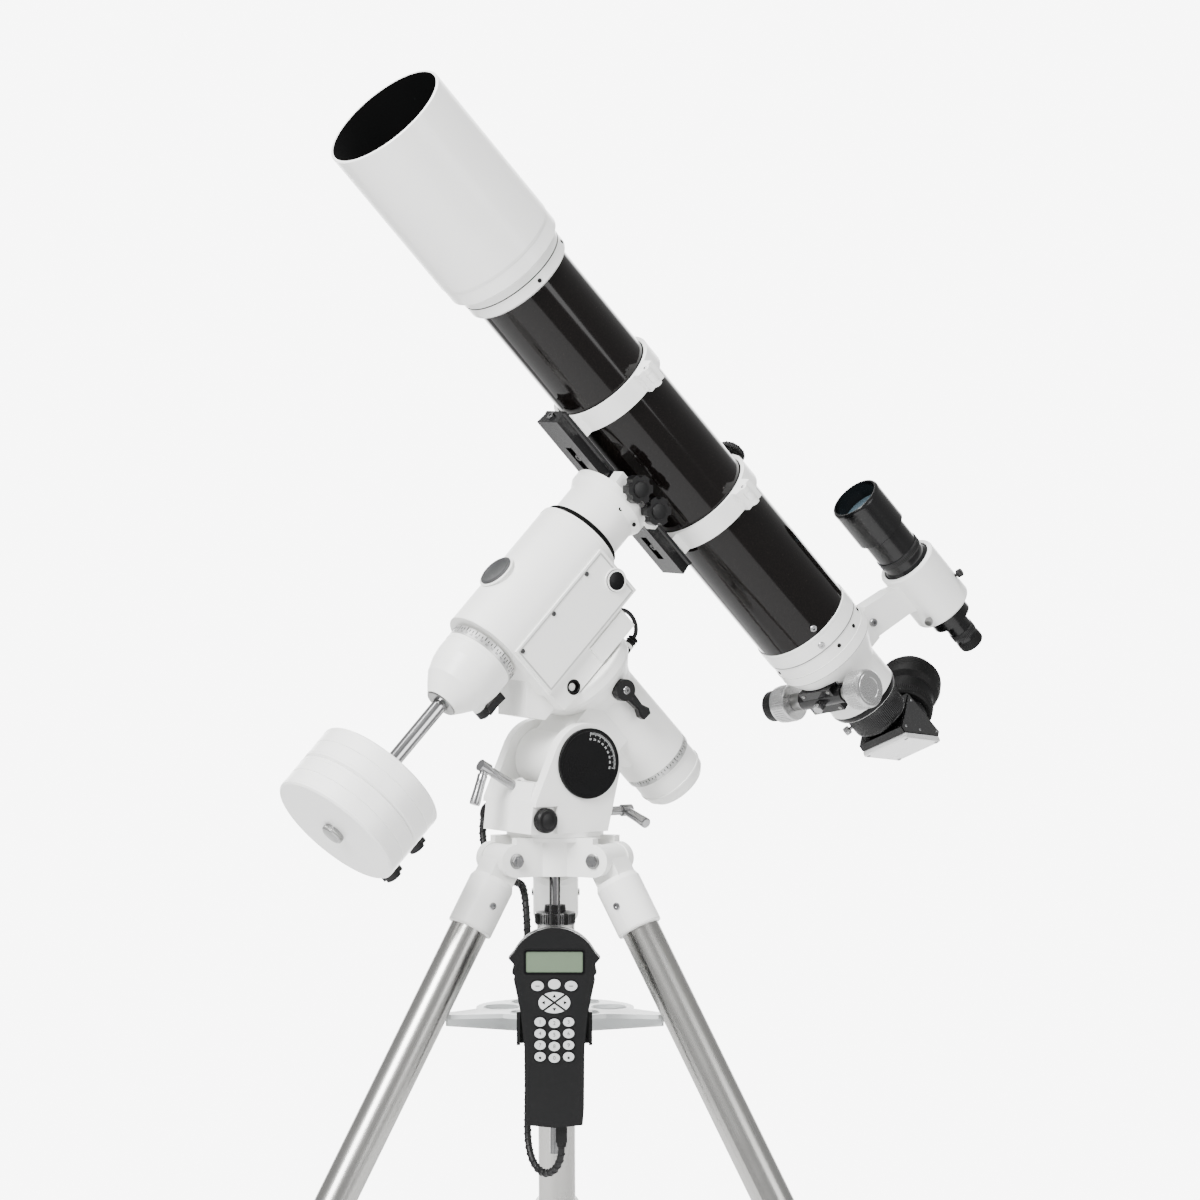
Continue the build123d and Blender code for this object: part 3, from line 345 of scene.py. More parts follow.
def screw_heads(name, places, radius, height, look, body, hexed=True):
    """Cap screws with a hexagonal socket, or domed screws with a cross slot, in one piece."""
    bm = bmesh.new()
    for place in places:
        segments = 24
        socket = radius * 0.48
        levels = [(radius, 0), (radius, height * 0.75), (radius * 0.88, height)]
        rings = []
        for reach, level in levels:
            rings.append([bm.verts.new(place @ Vector((reach * cos(tau * k / segments) / 1000,
                  reach * sin(tau * k / segments) / 1000, level / 1000))) for k in range(segments)])
        for reach, level in ((socket, height), (socket, height * 0.3)):
            ring = []
            for k in range(segments):
                turn = tau * k / segments
                if hexed:
                    out = socket * cos(pi / 6) / cos((turn % (pi / 3)) - pi / 6)
                else:
                    out = socket * (1.15 if min(turn % (pi / 2), pi / 2 - turn % (pi / 2)) < 0.3 else 0.35)
                ring.append(bm.verts.new(place @ Vector((out * cos(turn) / 1000, out * sin(turn) / 1000,
                      level / 1000))))
            rings.append(ring)
        bm.faces.new(rings[0][::-1])
        bm.faces.new(rings[-1])
        for first, second in zip(rings, rings[1:]):
            for k in range(segments):
                bm.faces.new((first[k], first[(k + 1) % segments], second[(k + 1) % segments], second[k]))
    return finish_piece(name, bm, Matrix.Identity(4), look, body)


def marks(name, place, radius, low, count, lengths, width, look, body, arc=360.0, start=0.0,
      proud=0.12):
    """Engraved ticks round a band: every one takes the next of the lengths in turn."""
    bm = bmesh.new()
    for index in range(count):
        length = lengths[index % len(lengths)]
        turn = Matrix.Rotation(radians(start + arc * index / count), 4, "Z")
        out = radius + proud
        corners = [(radius - 0.3, -width / 2), (out, -width / 2), (out, width / 2), (radius - 0.3, width / 2)]
        prism_into(bm, corners, low, low + length, turn)
    return finish_piece(name, bm, place, look, body)


def letters(name, items, look, body):
    """Numerals as thin raised shapes: (text, size in millimetres, matrix) each."""
    bm = bmesh.new()
    for text, size, place in items:
        curve = bpy.data.curves.new("numeral", "FONT")
        curve.body = text
        curve.size = size / 1000
        curve.align_x = "CENTER"
        curve.align_y = "CENTER"
        curve.extrude = 0.00006
        curve.resolution_u = 3
        holder = bpy.data.objects.new("numeral", curve)
        bpy.context.scene.collection.objects.link(holder)
        bpy.context.view_layer.update()
        shape = bpy.data.meshes.new_from_object(holder)
        shape.transform(place)
        bm.from_mesh(shape)
        bpy.data.objects.remove(holder)
        bpy.data.curves.remove(curve)
        bpy.data.meshes.remove(shape)
    return finish_piece(name, bm, Matrix.Identity(4), look, body)


# ---- camera --------------------------------------------------------------
VIEW_TURN = radians(33.5)
VIEW_DROP = radians(3.0)
VIEW_RIGHT = Vector((cos(VIEW_TURN), -sin(VIEW_TURN), 0))
VIEW_FORWARD = Vector((sin(VIEW_TURN) * cos(VIEW_DROP), cos(VIEW_TURN) * cos(VIEW_DROP), -sin(VIEW_DROP)))
VIEW_UP = VIEW_RIGHT.cross(VIEW_FORWARD)
DISTANCE = 7.4537
target = VIEW_RIGHT * 0.05175 + Vector((0, 0, 1.020))
camera_data = bpy.data.cameras.new("camera")
camera_data.sensor_fit = "HORIZONTAL"
camera_data.angle = 2 * atan(0.69 / DISTANCE)
camera = bpy.data.objects.new("camera", camera_data)
bpy.context.scene.collection.objects.link(camera)
aim = Matrix((VIEW_RIGHT, VIEW_UP, -VIEW_FORWARD)).transposed().to_4x4()
aim.translation = target - VIEW_FORWARD * DISTANCE
camera.matrix_world = aim
bpy.context.scene.camera = camera

# ---- cords ---------------------------------------------------------------
HANDSET_AZIMUTH = radians(236.5)
OUT = Vector((cos(HANDSET_AZIMUTH), sin(HANDSET_AZIMUTH), 0))
RIGHT = UP.cross(OUT)


def beside(right, out, height):
    return (RIGHT * right + OUT * out + UP * height) / 1000


HANDSET_ROUTE = [beside(8, 116, 409), beside(8, 116, 396), beside(5, 112, 384), beside(-2, 103.5, 373),
      beside(-12, 91, 369), beside(-22, 77, 375), beside(-29, 64, 390), beside(-31.5, 56, 412),
      beside(-31, 54, 440), beside(-30.5, 53.5, 480), beside(-31, 53.8, 530), beside(-31.4, 53.2, 580),
      beside(-31, 52.8, 625), beside(-32, 50, 658), beside(-34, 40, 681), beside(-37, 22, 692),
      beside(-42, 2, 694), beside(-50, -18, 694), mm(-30, 64, 701), mm(-29.3, 79, 705),
      mm(-28.4, 92.5, 711.3), mm(-27.4, 103.5, 720), mm(-26.3, 111.4, 731), mm(-25.2, 115.9, 742.9),
      mm(-24.1, 117.1, 754.8), mm(-23.1, 115.2, 765.7), mm(-22.4, 109.7, 775.2), mm(-22.1, 101.3, 782.2),
      mm(-22, 91, 786), mm(-22, 80, 786),]
MOTOR_ROUTE = [at(-138, 70), at(-138, 79), at(-133.5, 88, 1.5), at(-123, 94, 2.5), at(-111, 94, 2.5),
      at(-101, 88, 1.5), at(-96, 79), at(-96, 67)]


def smooth_line(points, name):
    """The open curve that the route's points give, and its points as a list."""
    curve = bpy.data.curves.new(name, "CURVE")
    curve.dimensions = "3D"
    spline = curve.splines.new("NURBS")
    spline.points.add(len(points) - 1)
    for corner, point in zip(spline.points, points):
        corner.co = (*point, 1)
    spline.order_u = 3
    spline.use_endpoint_u = True
    spline.resolution_u = 8
    holder = bpy.data.objects.new(name, curve)
    bpy.context.scene.collection.objects.link(holder)
    bpy.context.view_layer.update()
    line = bpy.data.meshes.new_from_object(holder)
    path = [v.co.copy() for v in line.vertices]
    bpy.data.objects.remove(holder)
    bpy.data.curves.remove(curve)
    bpy.data.meshes.remove(line)
    return path


def sweep_frames(path):
    """Tangent, side and up vectors along a path, turning as little as they can."""
    frames = []
    side = None
    for index in range(len(path)):
        ahead = path[min(index + 1, len(path) - 1)] - path[max(index - 1, 0)]
        ahead.normalize()
        if side is None:
            side = ahead.orthogonal()
        side = (side - ahead * side.dot(ahead)).normalized()
        frames.append((ahead, side, ahead.cross(side)))
    return frames


def tube_mesh(name, path, radius, look, segments=20):
    bm = bmesh.new()
    rings = []
    for point, (_, side, up) in zip(path, sweep_frames(path)):
        turns = [tau * k / segments for k in range(segments)]
        rings.append([bm.verts.new(point + (side * cos(turn) + up * sin(turn)) * radius) for turn in turns])
    for first, second in zip(rings, rings[1:]):
        for k in range(segments):
            bm.faces.new((first[k], first[(k + 1) % segments], second[(k + 1) % segments], second[k]))
    bm.faces.new(rings[0][::-1])
    bm.faces.new(rings[-1])
    bmesh.ops.recalc_face_normals(bm, faces=bm.faces)
    mesh = bpy.data.meshes.new(name)
    bm.to_mesh(mesh)
    bm.free()
    for face in mesh.polygons:
        face.use_smooth = True
    mesh.set_sharp_from_angle(angle=radians(50))
    mesh.materials.append(look)
    piece = bpy.data.objects.new(name, mesh)
    bpy.context.scene.collection.objects.link(piece)
    return piece


def length_of(path):
    return sum((b - a).length for a, b in zip(path, path[1:]))


def helix_along(path, radius, pitch, inset):
    """Points of a helix wound round a path, leaving a bare inset at each end."""
    whole = length_of(path)
    frames = sweep_frames(path)
    points = []
    travelled = 0.0
    for index in range(len(path) - 1):
        step = (path[index + 1] - path[index]).length
        pieces = max(1, round(step / (pitch / 10)))
        for part in range(pieces):
            share = part / pieces
            here = travelled + step * share
            if inset < here < whole - inset:
                centre = path[index].lerp(path[index + 1], share)
                side = frames[index][1].lerp(frames[index + 1][1], share)
                up = frames[index][2].lerp(frames[index + 1][2], share)
                turn = tau * here / pitch
                points.append(centre + (side * cos(turn) + up * sin(turn)) * radius)
        travelled += step
    return points


handset_path = smooth_line(HANDSET_ROUTE, "handset_route")
handset_cord = tube_mesh("handset_cord_rubber", handset_path, 0.0040, cord_rubber)
handset_wrap = tube_mesh("handset_cord_wrap", helix_along(handset_path, 0.0041, 0.0078, 0.008), 0.0009,
      plastic, 6)
for piece in (handset_cord, handset_wrap):
    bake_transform(piece)
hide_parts("handset_cord")
motor_path = smooth_line(MOTOR_ROUTE, "motor_route")
motor_cable = tube_mesh("motor_cable_rubber", motor_path, 0.0025, cord_rubber)
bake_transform(motor_cable)
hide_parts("motor_cable")

# ---- tripod details ------------------------------------------------------
HINGE_HEIGHT = 724.0
LEG_ANGLE = radians(30)
FLOOR_REACH = HINGE_HEIGHT / cos(LEG_ANGLE)
FOOT_TOP = FLOOR_REACH - 26

for number, azimuth in enumerate(LEG_AZIMUTHS, start=1):
    a = radians(azimuth)
    out = Vector((cos(a), sin(a), 0))
    down = legs[number]
    leg = frame_at(out * 0.068 + UP * 0.724, down, out.cross(UP))
    pin = frame_at(out * 0.068 + UP * 0.724, out.cross(UP), out)
    # foot sleeve, cut flat at the floor
    bm = bmesh.new()
    outline = [(21.08, FOOT_TOP - 0.3), (21.1, FOOT_TOP + 2), (20.6, FOOT_TOP + 3.2), (21.1, FOOT_TOP + 4.4),
          (21.1, FOOT_TOP + 8), (13.3, FOOT_TOP + 60)]
    rings = []
    for radius, height in outline:
        rings.append([bm.verts.new(Vector((radius * cos(tau * k / 64), radius * sin(tau * k / 64),
              height)) / 1000) for k in range(64)])
    for first, second in zip(rings, rings[1:]):
        for k in range(64):
            bm.faces.new((first[k], first[(k + 1) % 64], second[(k + 1) % 64], second[k]))
    bm.faces.new(rings[0])
    bm.faces.new(rings[-1])
    bm.transform(leg)
    cut = bmesh.ops.bisect_plane(bm, geom=bm.verts[:] + bm.edges[:] + bm.faces[:], plane_co=(0, 0, 0.0002),
          plane_no=(0, 0, -1), clear_outer=True)
    edges = [e for e in cut["geom_cut"] if isinstance(e, bmesh.types.BMEdge)]
    bmesh.ops.contextual_create(bm, geom=edges)
    finish_piece(f"foot_rubber_{number}", bm, Matrix.Identity(4), rubber, f"lower_leg_{number}")
    # end ring where the lower tube leaves the collar
    lathe(f"collar_lip_{number}", leg, [(19.2, 569.7), (23.4, 569.7), (24.6, 570.2), (24.6, 571.4),
          (23.8, 572.2), (19.2, 572.2)], plastic, f"leg_{number}")
    lathe(f"socket_lip_{number}", leg, [(22.3, 87.9), (25.6, 87.9), (26.2, 88.3), (26.0, 89.4), (22.3, 90.6)],
          casting, f"leg_{number}")
    heads = [frame_at(leg @ mm(side * 26.3, 0, height), leg.to_3x3() @ Vector((side, 0, 0))) for side in (-1,
          1) for height in (58, 534)]
    screw_heads(f"leg_screws_{number}", heads, 4.2, 1.8, chrome, f"leg_{number}")
    washers = [frame_at(pin @ mm(0, 0, side * 31.0), pin.to_3x3() @ Vector((0, 0, side))) for side in (-1, 1)]
    for side, washer in zip(("left", "right"), washers):
        lathe(f"hinge_washer_{number}_{side}", washer, [(4.2, 0), (8.6, 0), (8.9, 0.3), (8.9, 0.9),
              (8.4, 1.2), (4.2, 1.2)], satin_steel, "tripod_head")

MOUNT = Matrix.Identity(4)
knurl("lock_knob_rim", MOUNT, 23.6, 647.5, 658.5, 60, 0.7, plastic, "mount_screw")
lathe("lock_knob_body", MOUNT, [(6.1, 645.8), (20, 645.8), (22.6, 646.6), (22.6, 659.4), (20, 660.4),
      (13, 661.0), (12, 668.3), (6.1, 668.3)], plastic, "mount_screw")
lathe("tray_hub_cap", MOUNT, [(6.4, 550), (15.5, 550), (16.2, 550.6), (15.4, 552.0), (8, 552.6),
      (6.4, 552.6)], tray_white, "tray")
for index in range(6):
    a = radians(86.5 + 60 * index)
    hole = frame_at(mm(62 * cos(a), 62 * sin(a), 0), UP)
    lathe(f"tray_hole_rim_{index + 1}", hole, [(19.05, 544.6), (20.4, 544.6), (20.4, 544.9), (20.4, 550.2),
          (19.9, 551.0), (19.05, 550.6)], tray_white, "tray")

# ---- azimuth base, dials and bolts --------------------------------------
for side, body_far in (("near", -1), ("far", 1)):
    knob = frame_at(mm(-50, 0, 772), (0, body_far, 0), UP)
    knurl(f"azimuth_knob_rim_{side}", knob, 14.5, 53.4, 60.6, 40, 0.6, plastic, f"azimuth_screw_{side}")
    lathe(f"azimuth_knob_cap_{side}", knob, [(0, 62.9), (8.5, 62.9), (9.2, 63.6), (8.4, 64.1), (0, 64.3)],
          plastic, f"azimuth_screw_{side}")
    dial = frame_at(PIVOT, (0, body_far, 0), UP)
    lathe(f"latitude_dial_rim_{side}", dial, [(36.5, 59.9), (37.3, 60.5), (39.6, 60.5), (40.6, 59.6),
          (40.6, 58.8), (36.5, 58.8)], smooth_plastic, "azimuth_head")
    bm = bmesh.new()
    for step in range(41):
        angle = radians(body_far * (2 + step * 2.5))
        long = 5.0 if step % 10 == 0 else (3.8 if step % 5 == 0 else 2.6)
        turn = Matrix.Rotation(angle, 4, "Z")
        prism_into(bm, [(35.8 - long, -0.2), (35.8, -0.2), (35.8, 0.2), (35.8 - long, 0.2)], 59.8, 60.12,
              turn)
    finish_piece(f"latitude_scale_{side}", bm, dial, key_grey, "azimuth_head")
    items = []
    for step in range(0, 41, 5):
        angle = radians(body_far * (2 + step * 2.5))
        spot = Matrix.Translation((0.0278 * cos(angle), 0.0278 * sin(angle), 0.06005))
        spin = Matrix.Rotation(angle - pi / 2, 4, "Z")
        items.append((str(step * 2 + 10), 3.4, dial @ spot @ spin))
    letters(f"latitude_numbers_{side}", items, key_grey, "azimuth_head")

NORTH = frame_at(mm(-44, 0, 801), (-0.867, 0, 0.498), FAR)
SOUTH = frame_at(mm(44, 0, 773), (1, 0, 0), FAR)
for name, place, tip, hang, body in (("north", NORTH, 60, (-0.316, 0, -0.949), "latitude_screw_north"),
      ("south", SOUTH, 54, (0, -0.961, -0.276), "latitude_screw_south")):
    lathe(f"latitude_washer_{name}", place, [(5.2, 10.1 if name == "north" else 4.1),
          (9.4, 10.1 if name == "north" else 4.1), (9.8, 10.6 if name == "north" else 4.6),
          (9.4, 11.8 if name == "north" else 5.8), (5.2, 11.8 if name == "north" else 5.8)], satin_steel,
          "azimuth_head")
    bm = bmesh.new()
    for turn in range(int((tip - 22) / 1.6)):
        level = 13 + turn * 1.6
        rings = []
        for reach, height in ((4.9, level), (5.35, level + 0.5), (5.35, level + 0.8), (4.9, level + 1.4)):
            rings.append([bm.verts.new((reach * cos(tau * k / 32) / 1000, reach * sin(tau * k / 32) / 1000,
                  height / 1000)) for k in range(32)])
        for first, second in zip(rings, rings[1:] + rings[:1]):
            for k in range(32):
                bm.faces.new((first[k], first[(k + 1) % 32], second[(k + 1) % 32], second[k]))
    finish_piece(f"latitude_thread_{name}", bm, place, chrome, body)
    knee = place @ mm(0, 0, tip)
    handle = frame_at(knee, hang)
    lathe(f"latitude_grip_{name}", handle, [(4.65, 8), (5.4, 8.4), (5.9, 10), (5.6, 16), (5.9, 30), (6.4, 40),
          (6.2, 43.5), (5.0, 44.8), (0, 45.2), (0, 44), (4.65, 43)], chrome, body)

# ---- polar axis ----------------------------------------------------------
lathe("ra_circle_band", RA, [(41.45, -264.2), (42.1, -264.2), (42.3, -264.0), (42.3, -255.6), (42.1, -255.4),
      (41.45, -255.4)], scale_silver, "polar", 128)
marks("ra_circle_ticks", RA, 42.3, -259.6, 60, (4.1, 2.4, 2.4), 1.1, mark_black, "polar")
items = []
for hour in range(24):
    angle = tau * hour / 24
    out = RA.to_3x3() @ Vector((cos(angle), sin(angle), 0))
    along = RA.to_3x3() @ Vector((0, 0, 1))
    spot = frame_at(RA @ mm(42.28 * cos(angle), 42.28 * sin(angle), -261.4), out, along.cross(out))
    items.append((str(hour), 3.6, spot))
letters("ra_circle_numbers", items, mark_black, "polar")
lathe("polar_cap_rim", RA, [(40.05, -289.5), (40.7, -289.2), (40.9, -288.2), (40.9, -286.8), (40.3, -286.2),
      (40.05, -286.2)], casting, "polar")
lathe("polar_cap_plug", RA, [(0, -306.2), (23.5, -306.2), (24.6, -305.9), (24.6, -305.3), (0, -305.3)],
      smooth_plastic, "polar")
lathe("polar_shoulder_line", RA, [(62.02, -104.6), (62.3, -105.0), (62.3, -107.4), (62.02, -107.8)], casting,
      "polar", 128)
LEVER = frame_at(at(-142, 2), NEAR, -POLE)
screw_heads("ra_lever_screw", [LEVER @ Matrix.Translation((0, 0, 0.0598))], 4.6, 2.4, chrome, "ra_lever")
prism("ra_lever_grip", LEVER, [(12.6, -3.4), (27, -2.2), (36.6, -5.8), (41.8, -4.4), (42.8, 4), (37.6, 6),
      (27, 2.6), (12.6, 3.6)], 58.9, 60.2, plastic, "ra_lever", bevel=0.5)
lathe("ra_lever_boss", LEVER, [(5.4, 59.9), (11.4, 59.9), (11.9, 59.5), (12.7, 59.1), (12.7, 49.2),
      (12.3, 48.8), (5.4, 59.2)], plastic, "ra_lever", 48)
plug = frame_at(at(-138, 0), DEC, POLE)
knurl("motor_plug_collar", plug, 6.9, 52, 62, 24, 0.4, plastic, "polar")
for index, level in enumerate((67.5, 71.5, 75.5)):
    lathe(f"motor_coil_{index + 1}", plug, [(2.7, level - 1.7), (5.2, level - 1.5), (6.4, level - 0.5),
          (6.4, level + 0.5), (5.2, level + 1.5), (2.7, level + 1.7)], rubber, "polar", 40)
lathe("motor_plug_boot", plug, [(4.6, 66.1), (6.0, 66.1), (6.2, 66.6), (5.4, 68), (4.9, 70), (3.0, 70.6),
      (2.7, 70.2), (4.55, 69.8)], rubber, "polar", 32)

# ---- Dec housing ---------------------------------------------------------
SIDE_NEAR = frame_at(CROSS, NEAR, POLE)          # local x: pole, y: z cross x
flip = SIDE_NEAR.to_3x3() @ Vector((0, 1, 0))
DEC_SIGN = 1 if flip.dot(DEC) > 0 else -1


def cover_point(a, d):
    return (a, d * DEC_SIGN)


cover_line = [cover_point(*p) for p in ((-6, -67), (-70, -67), (-70, 91), (-6, 91))]
bm = bmesh.new()
inner = [cover_point(*p) for p in ((-8, -65), (-68, -65), (-68, 89), (-8, 89))]
COVER_FACE = 54.9                  # distance of the cover from the axis, and of the lip round it
COVER_LIP_TOP = 55.5
ring_out = [bm.verts.new(Vector((x, y, COVER_LIP_TOP)) / 1000) for x, y in cover_line]
ring_in = [bm.verts.new(Vector((x, y, COVER_LIP_TOP)) / 1000) for x, y in inner]
base_out = [bm.verts.new(Vector((x, y, COVER_FACE)) / 1000) for x, y in cover_line]
base_in = [bm.verts.new(Vector((x, y, COVER_FACE)) / 1000) for x, y in inner]
for k in range(4):
    j = (k + 1) % 4
    bm.faces.new((ring_out[k], ring_out[j], ring_in[j], ring_in[k]))
    bm.faces.new((ring_out[k], base_out[k], base_out[j], ring_out[j]))
    bm.faces.new((ring_in[k], ring_in[j], base_in[j], base_in[k]))
    bm.faces.new((base_out[k], base_in[k], base_in[j], base_out[j]))
# The lip is drawn in this grey as painted shade along the motor cover's seam.
finish_piece("motor_cover_lip", bm, SIDE_NEAR, painted_seam_shade, "ra_head", bevel=0.0003)
heads = []
for a, d in ((-10, 60), (-10, -3), (-10, -62)):
    x, y = cover_point(a, d)
    heads.append(SIDE_NEAR @ Matrix.Translation((x / 1000, y / 1000, 0.0549)))
screw_heads("motor_cover_screws", heads, 2.9, 1.3, screw_grey, "ra_head", hexed=False)
x, y = cover_point(-44, 82)
button = SIDE_NEAR @ Matrix.Translation((x / 1000, y / 1000, 0))
lathe("cover_plug", button, [(0, 58.1), (10.4, 58.1), (12.4, 57.6), (12.9, 56.8), (12.9, 55.1), (12.6, 55.05),
      (12.6, 57), (0, 58.05)], smooth_plastic, "ra_head", 64)
lathe("cover_plug_ring", button, [(12.95, 55.05), (14.6, 55.05), (14.9, 55.5), (14.4, 56.3), (12.95, 56.3)],
      casting, "ra_head", 64)
x, y = cover_point(-92, -41)
lathe("cup_screw_hole", SIDE_NEAR @ Matrix.Translation((x / 1000, y / 1000, 0)),
      [(4.6, 46.2), (7.95, 46.2), (7.95, 49.95), (9.0, 50.1), (9.0, 50.5), (7.2, 50.5), (6.9, 50.1),
      (6.9, 47.2), (4.6, 47.2)], smooth_plastic, "ra_head", 48)
lathe("north_plug", RA, [(0, 54.05), (15.5, 54.05), (19.8, 54.05), (20.8, 54.6), (20.8, 55.4), (19.8, 56.0),
      (16.4, 56.2), (15.4, 55.7), (0, 55.6)], grey_plastic, "ra_head")
lathe("north_plug_collar", RA, [(21.55, 51.6), (22.6, 52.0), (23.4, 52.8), (23.4, 53.6), (22.6, 54.2),
      (21.4, 54.2), (21.4, 51.6)], casting, "ra_head")
lathe("housing_seam_upper", DEC_FRAME, [(52.02, 98.2), (52.4, 98.6), (52.4, 100.6), (52.02, 101)], casting,
      "ra_head", 128)
lathe("housing_seam_lower", DEC_FRAME, [(52.02, -71.6), (52.4, -71.2), (52.4, -69.2), (52.02, -68.8)],
      casting, "ra_head", 128)

# ---- Dec axis ------------------------------------------------------------
# This black ring is painted shadow: it fills the shaded gap where the saddle neck enters the housing's top
# opening.
lathe("dec_shadow_gap_ring", DEC_FRAME, [(41.05, 104.5), (48.6, 104.5), (49.2, 105.1), (48.4, 110.8), (47.6, 111.4),
      (43.55, 111.4), (43.55, 107.95), (41.05, 107.95)], matte_black, "dec_head", 128)
lathe("dec_circle_band", DEC_FRAME, [(42.05, -86.8), (42.9, -86.8), (43.1, -86.6), (43.1, -75.6),
      (42.9, -75.4), (42.05, -75.4)], scale_silver, "dec_head", 128)
marks("dec_circle_ticks", DEC_FRAME, 43.1, -80.8, 60, (5.2, 3.0, 3.0), 1.1, mark_black, "dec_head")
items = []
for step in range(36):
    angle = tau * step / 36
    out = DEC_FRAME.to_3x3() @ Vector((cos(angle), sin(angle), 0))
    along = DEC_FRAME.to_3x3() @ Vector((0, 0, 1))
    spot = frame_at(DEC_FRAME @ mm(43.08 * cos(angle), 43.08 * sin(angle), -83.2), out, along.cross(out))
    value = step * 10 % 180
    items.append((str(value if value <= 90 else 180 - value), 3.8, spot))
letters("dec_circle_numbers", items, mark_black, "dec_head")
lathe("cup_seam", DEC_FRAME, [(43.02, -90.4), (43.3, -90.8), (43.3, -92.4), (43.02, -92.8)], casting,
      "dec_head", 128)
lathe("cup_collar", DEC_FRAME, [(9.3, -157.1), (18.6, -157.1), (19.4, -157.6), (18.6, -158.6), (10.2, -158.9),
      (9.3, -158.4)], satin_steel, "dec_head")
LOCK = frame_at(at(0, -126), -POLE, DEC)
screw_heads("shaft_lever_screw", [LOCK @ Matrix.Translation((0, 0, 0.0520))], 5.4, 2.6, chrome, "shaft_lever")
screw_heads("saddle_head_screws", [frame_at(at(a, 150), NEAR) @ Matrix.Translation((0, 0,
      0.0434)) for a in (-22, 4)], 2.6, 1.0, mark_black, "dec_head")
for name, station in (("upper", 9), ("lower", -27)):
    screw = frame_at(at(station, 177), NEAR, DEC)
    lathe(f"saddle_knob_cap_{name}", screw, [(0, 62.1), (8.6, 62.1), (9.8, 62.9), (9.4, 63.9), (6.8, 64.6),
          (0, 64.7)], plastic, f"saddle_screw_{name}", 48)
    lathe(f"saddle_knob_collar_{name}", screw, [(4.2, 42.7), (8.6, 42.7), (9.2, 43.2), (9.2, 45.6),
          (8.6, 46.2), (4.2, 46.2)], satin_steel, f"saddle_screw_{name}", 48)
lathe("shaft_end_cap", DEC_FRAME, [(0, -363.6), (10.6, -363.6), (13.2, -362.4), (13.3, -360), (13.2, -357.4),
      (13.0, -357.4), (12.9, -361.9), (0, -363.5)], satin_steel, "shaft", 64)
knurl("shaft_end_grip", DEC_FRAME, 13.5, -361.6, -357.6, 48, 0.4, satin_steel, "shaft")
WEIGHT_WAY = -POLE * cos(radians(6)) + FAR * sin(radians(6))
for name, low in (("lower", -356.0), ("upper", -312.2)):
    middle = low + 21.75
    lathe(f"weight_bore_ring_{name}", DEC_FRAME, [(9.4, low + 43.4), (14.5, low + 43.4), (15.2, low + 43.6),
          (14.8, low + 43.75), (9.4, low + 43.75)], satin_steel, f"weight_{name}", 64)
    for part, level in (("a", low + 5.2), ("b", low + 38.3)):
        lathe(f"weight_line_{name}_{part}", DEC_FRAME, [(79.9, level - 0.6), (80.25, level - 0.4),
              (80.25, level + 0.4), (79.9, level + 0.6)], paint, f"weight_{name}", 160)
    screw = frame_at(at(0, middle), WEIGHT_WAY, DEC)
    lathe(f"weight_knob_cap_{name}", screw, [(0, 97.05), (6.5, 97.05), (7.4, 97.6), (6.9, 98.4), (0, 98.7)],
          plastic, f"weight_screw_{name}", 48)
    lathe(f"weight_knob_boss_{name}", screw, [(4.2, 79.8), (8.2, 79.8), (8.8, 80.4), (8.4, 82.6), (4.2, 83)],
          satin_steel, f"weight_{name}", 48)

# ---- telescope tube, cell and shield -------------------------------------
lathe("tube_rear_band", OPTICAL, [(60.5, -295.9), (61.6, -295.9), (61.9, -295.6), (61.9, -292.4),
      (61.6, -292.1), (60.5, -292.1)], paint, "telescope", 160)
lathe("cell_rear_bevel", OPTICAL, [(60.6, 271.9), (65.6, 271.9), (66.0, 271.4), (64.8, 270.4), (60.6, 270.2)],
      paint, "telescope", 160)
lathe("cell_seam", OPTICAL, [(67.02, 286), (67.25, 286.3), (67.25, 287.2), (67.02, 287.5)], mark_black,
      "telescope", 160)
lathe("shield_lining", OPTICAL, [(72.45, 312.3), (72.45, 526.6), (71.9, 526.6), (71.9, 312.3)], matte_black,
      "telescope", 160)
lathe("shield_lip", OPTICAL, [(72.4, 526.9), (73.2, 527.1), (73.9, 527.08), (75.1, 525.9), (75.2, 524.6),
      (75.05, 524.2), (72.4, 525.8)], paint, "telescope", 192)
lathe("shield_rear_step", OPTICAL, [(74.6, 319.0), (75.05, 319.4), (75.1, 321.6), (74.6, 322)], paint,
      "telescope", 192)
lathe("lens_retainer", OPTICAL, [(57.6, 309.4), (59.95, 309.4), (59.95, 311.8), (58.4, 311.8), (57.6, 311.0)],
      matte_black, "telescope", 128)
for index, level in enumerate((-250, -160, -40, 40, 150, 240)):
    lathe(f"tube_baffle_{index + 1}", OPTICAL, [(47, level), (58.4, level), (58.4, level + 1.2),
          (47, level + 1.2)], matte_black, "telescope", 96)
heads = []
bright = []
for level, start in ((-283, 250), (-306, 245)):
    for turn in (0, 120, 240):
        t = radians(start + turn)
        out = OPTICAL.to_3x3() @ Vector((cos(t), sin(t), 0))
        reach = 60.45 if level == -283 else 61.0
        bright.append(frame_at(OPTICAL @ mm(reach * cos(t), reach * sin(t), level), out))
for angle in (20, 140, 260, 320):
    t = radians(angle)
    out = OPTICAL.to_3x3() @ Vector((cos(t), sin(t), 0))
    heads.append(frame_at(OPTICAL @ mm(66.9 * cos(t), 66.9 * sin(t), 279), out))
screw_heads("tube_screws", heads, 2.6, 0.9, mark_black, "telescope", hexed=False)
screw_heads("focuser_clamp_screws", bright, 4.2, 2.6, chrome, "telescope")

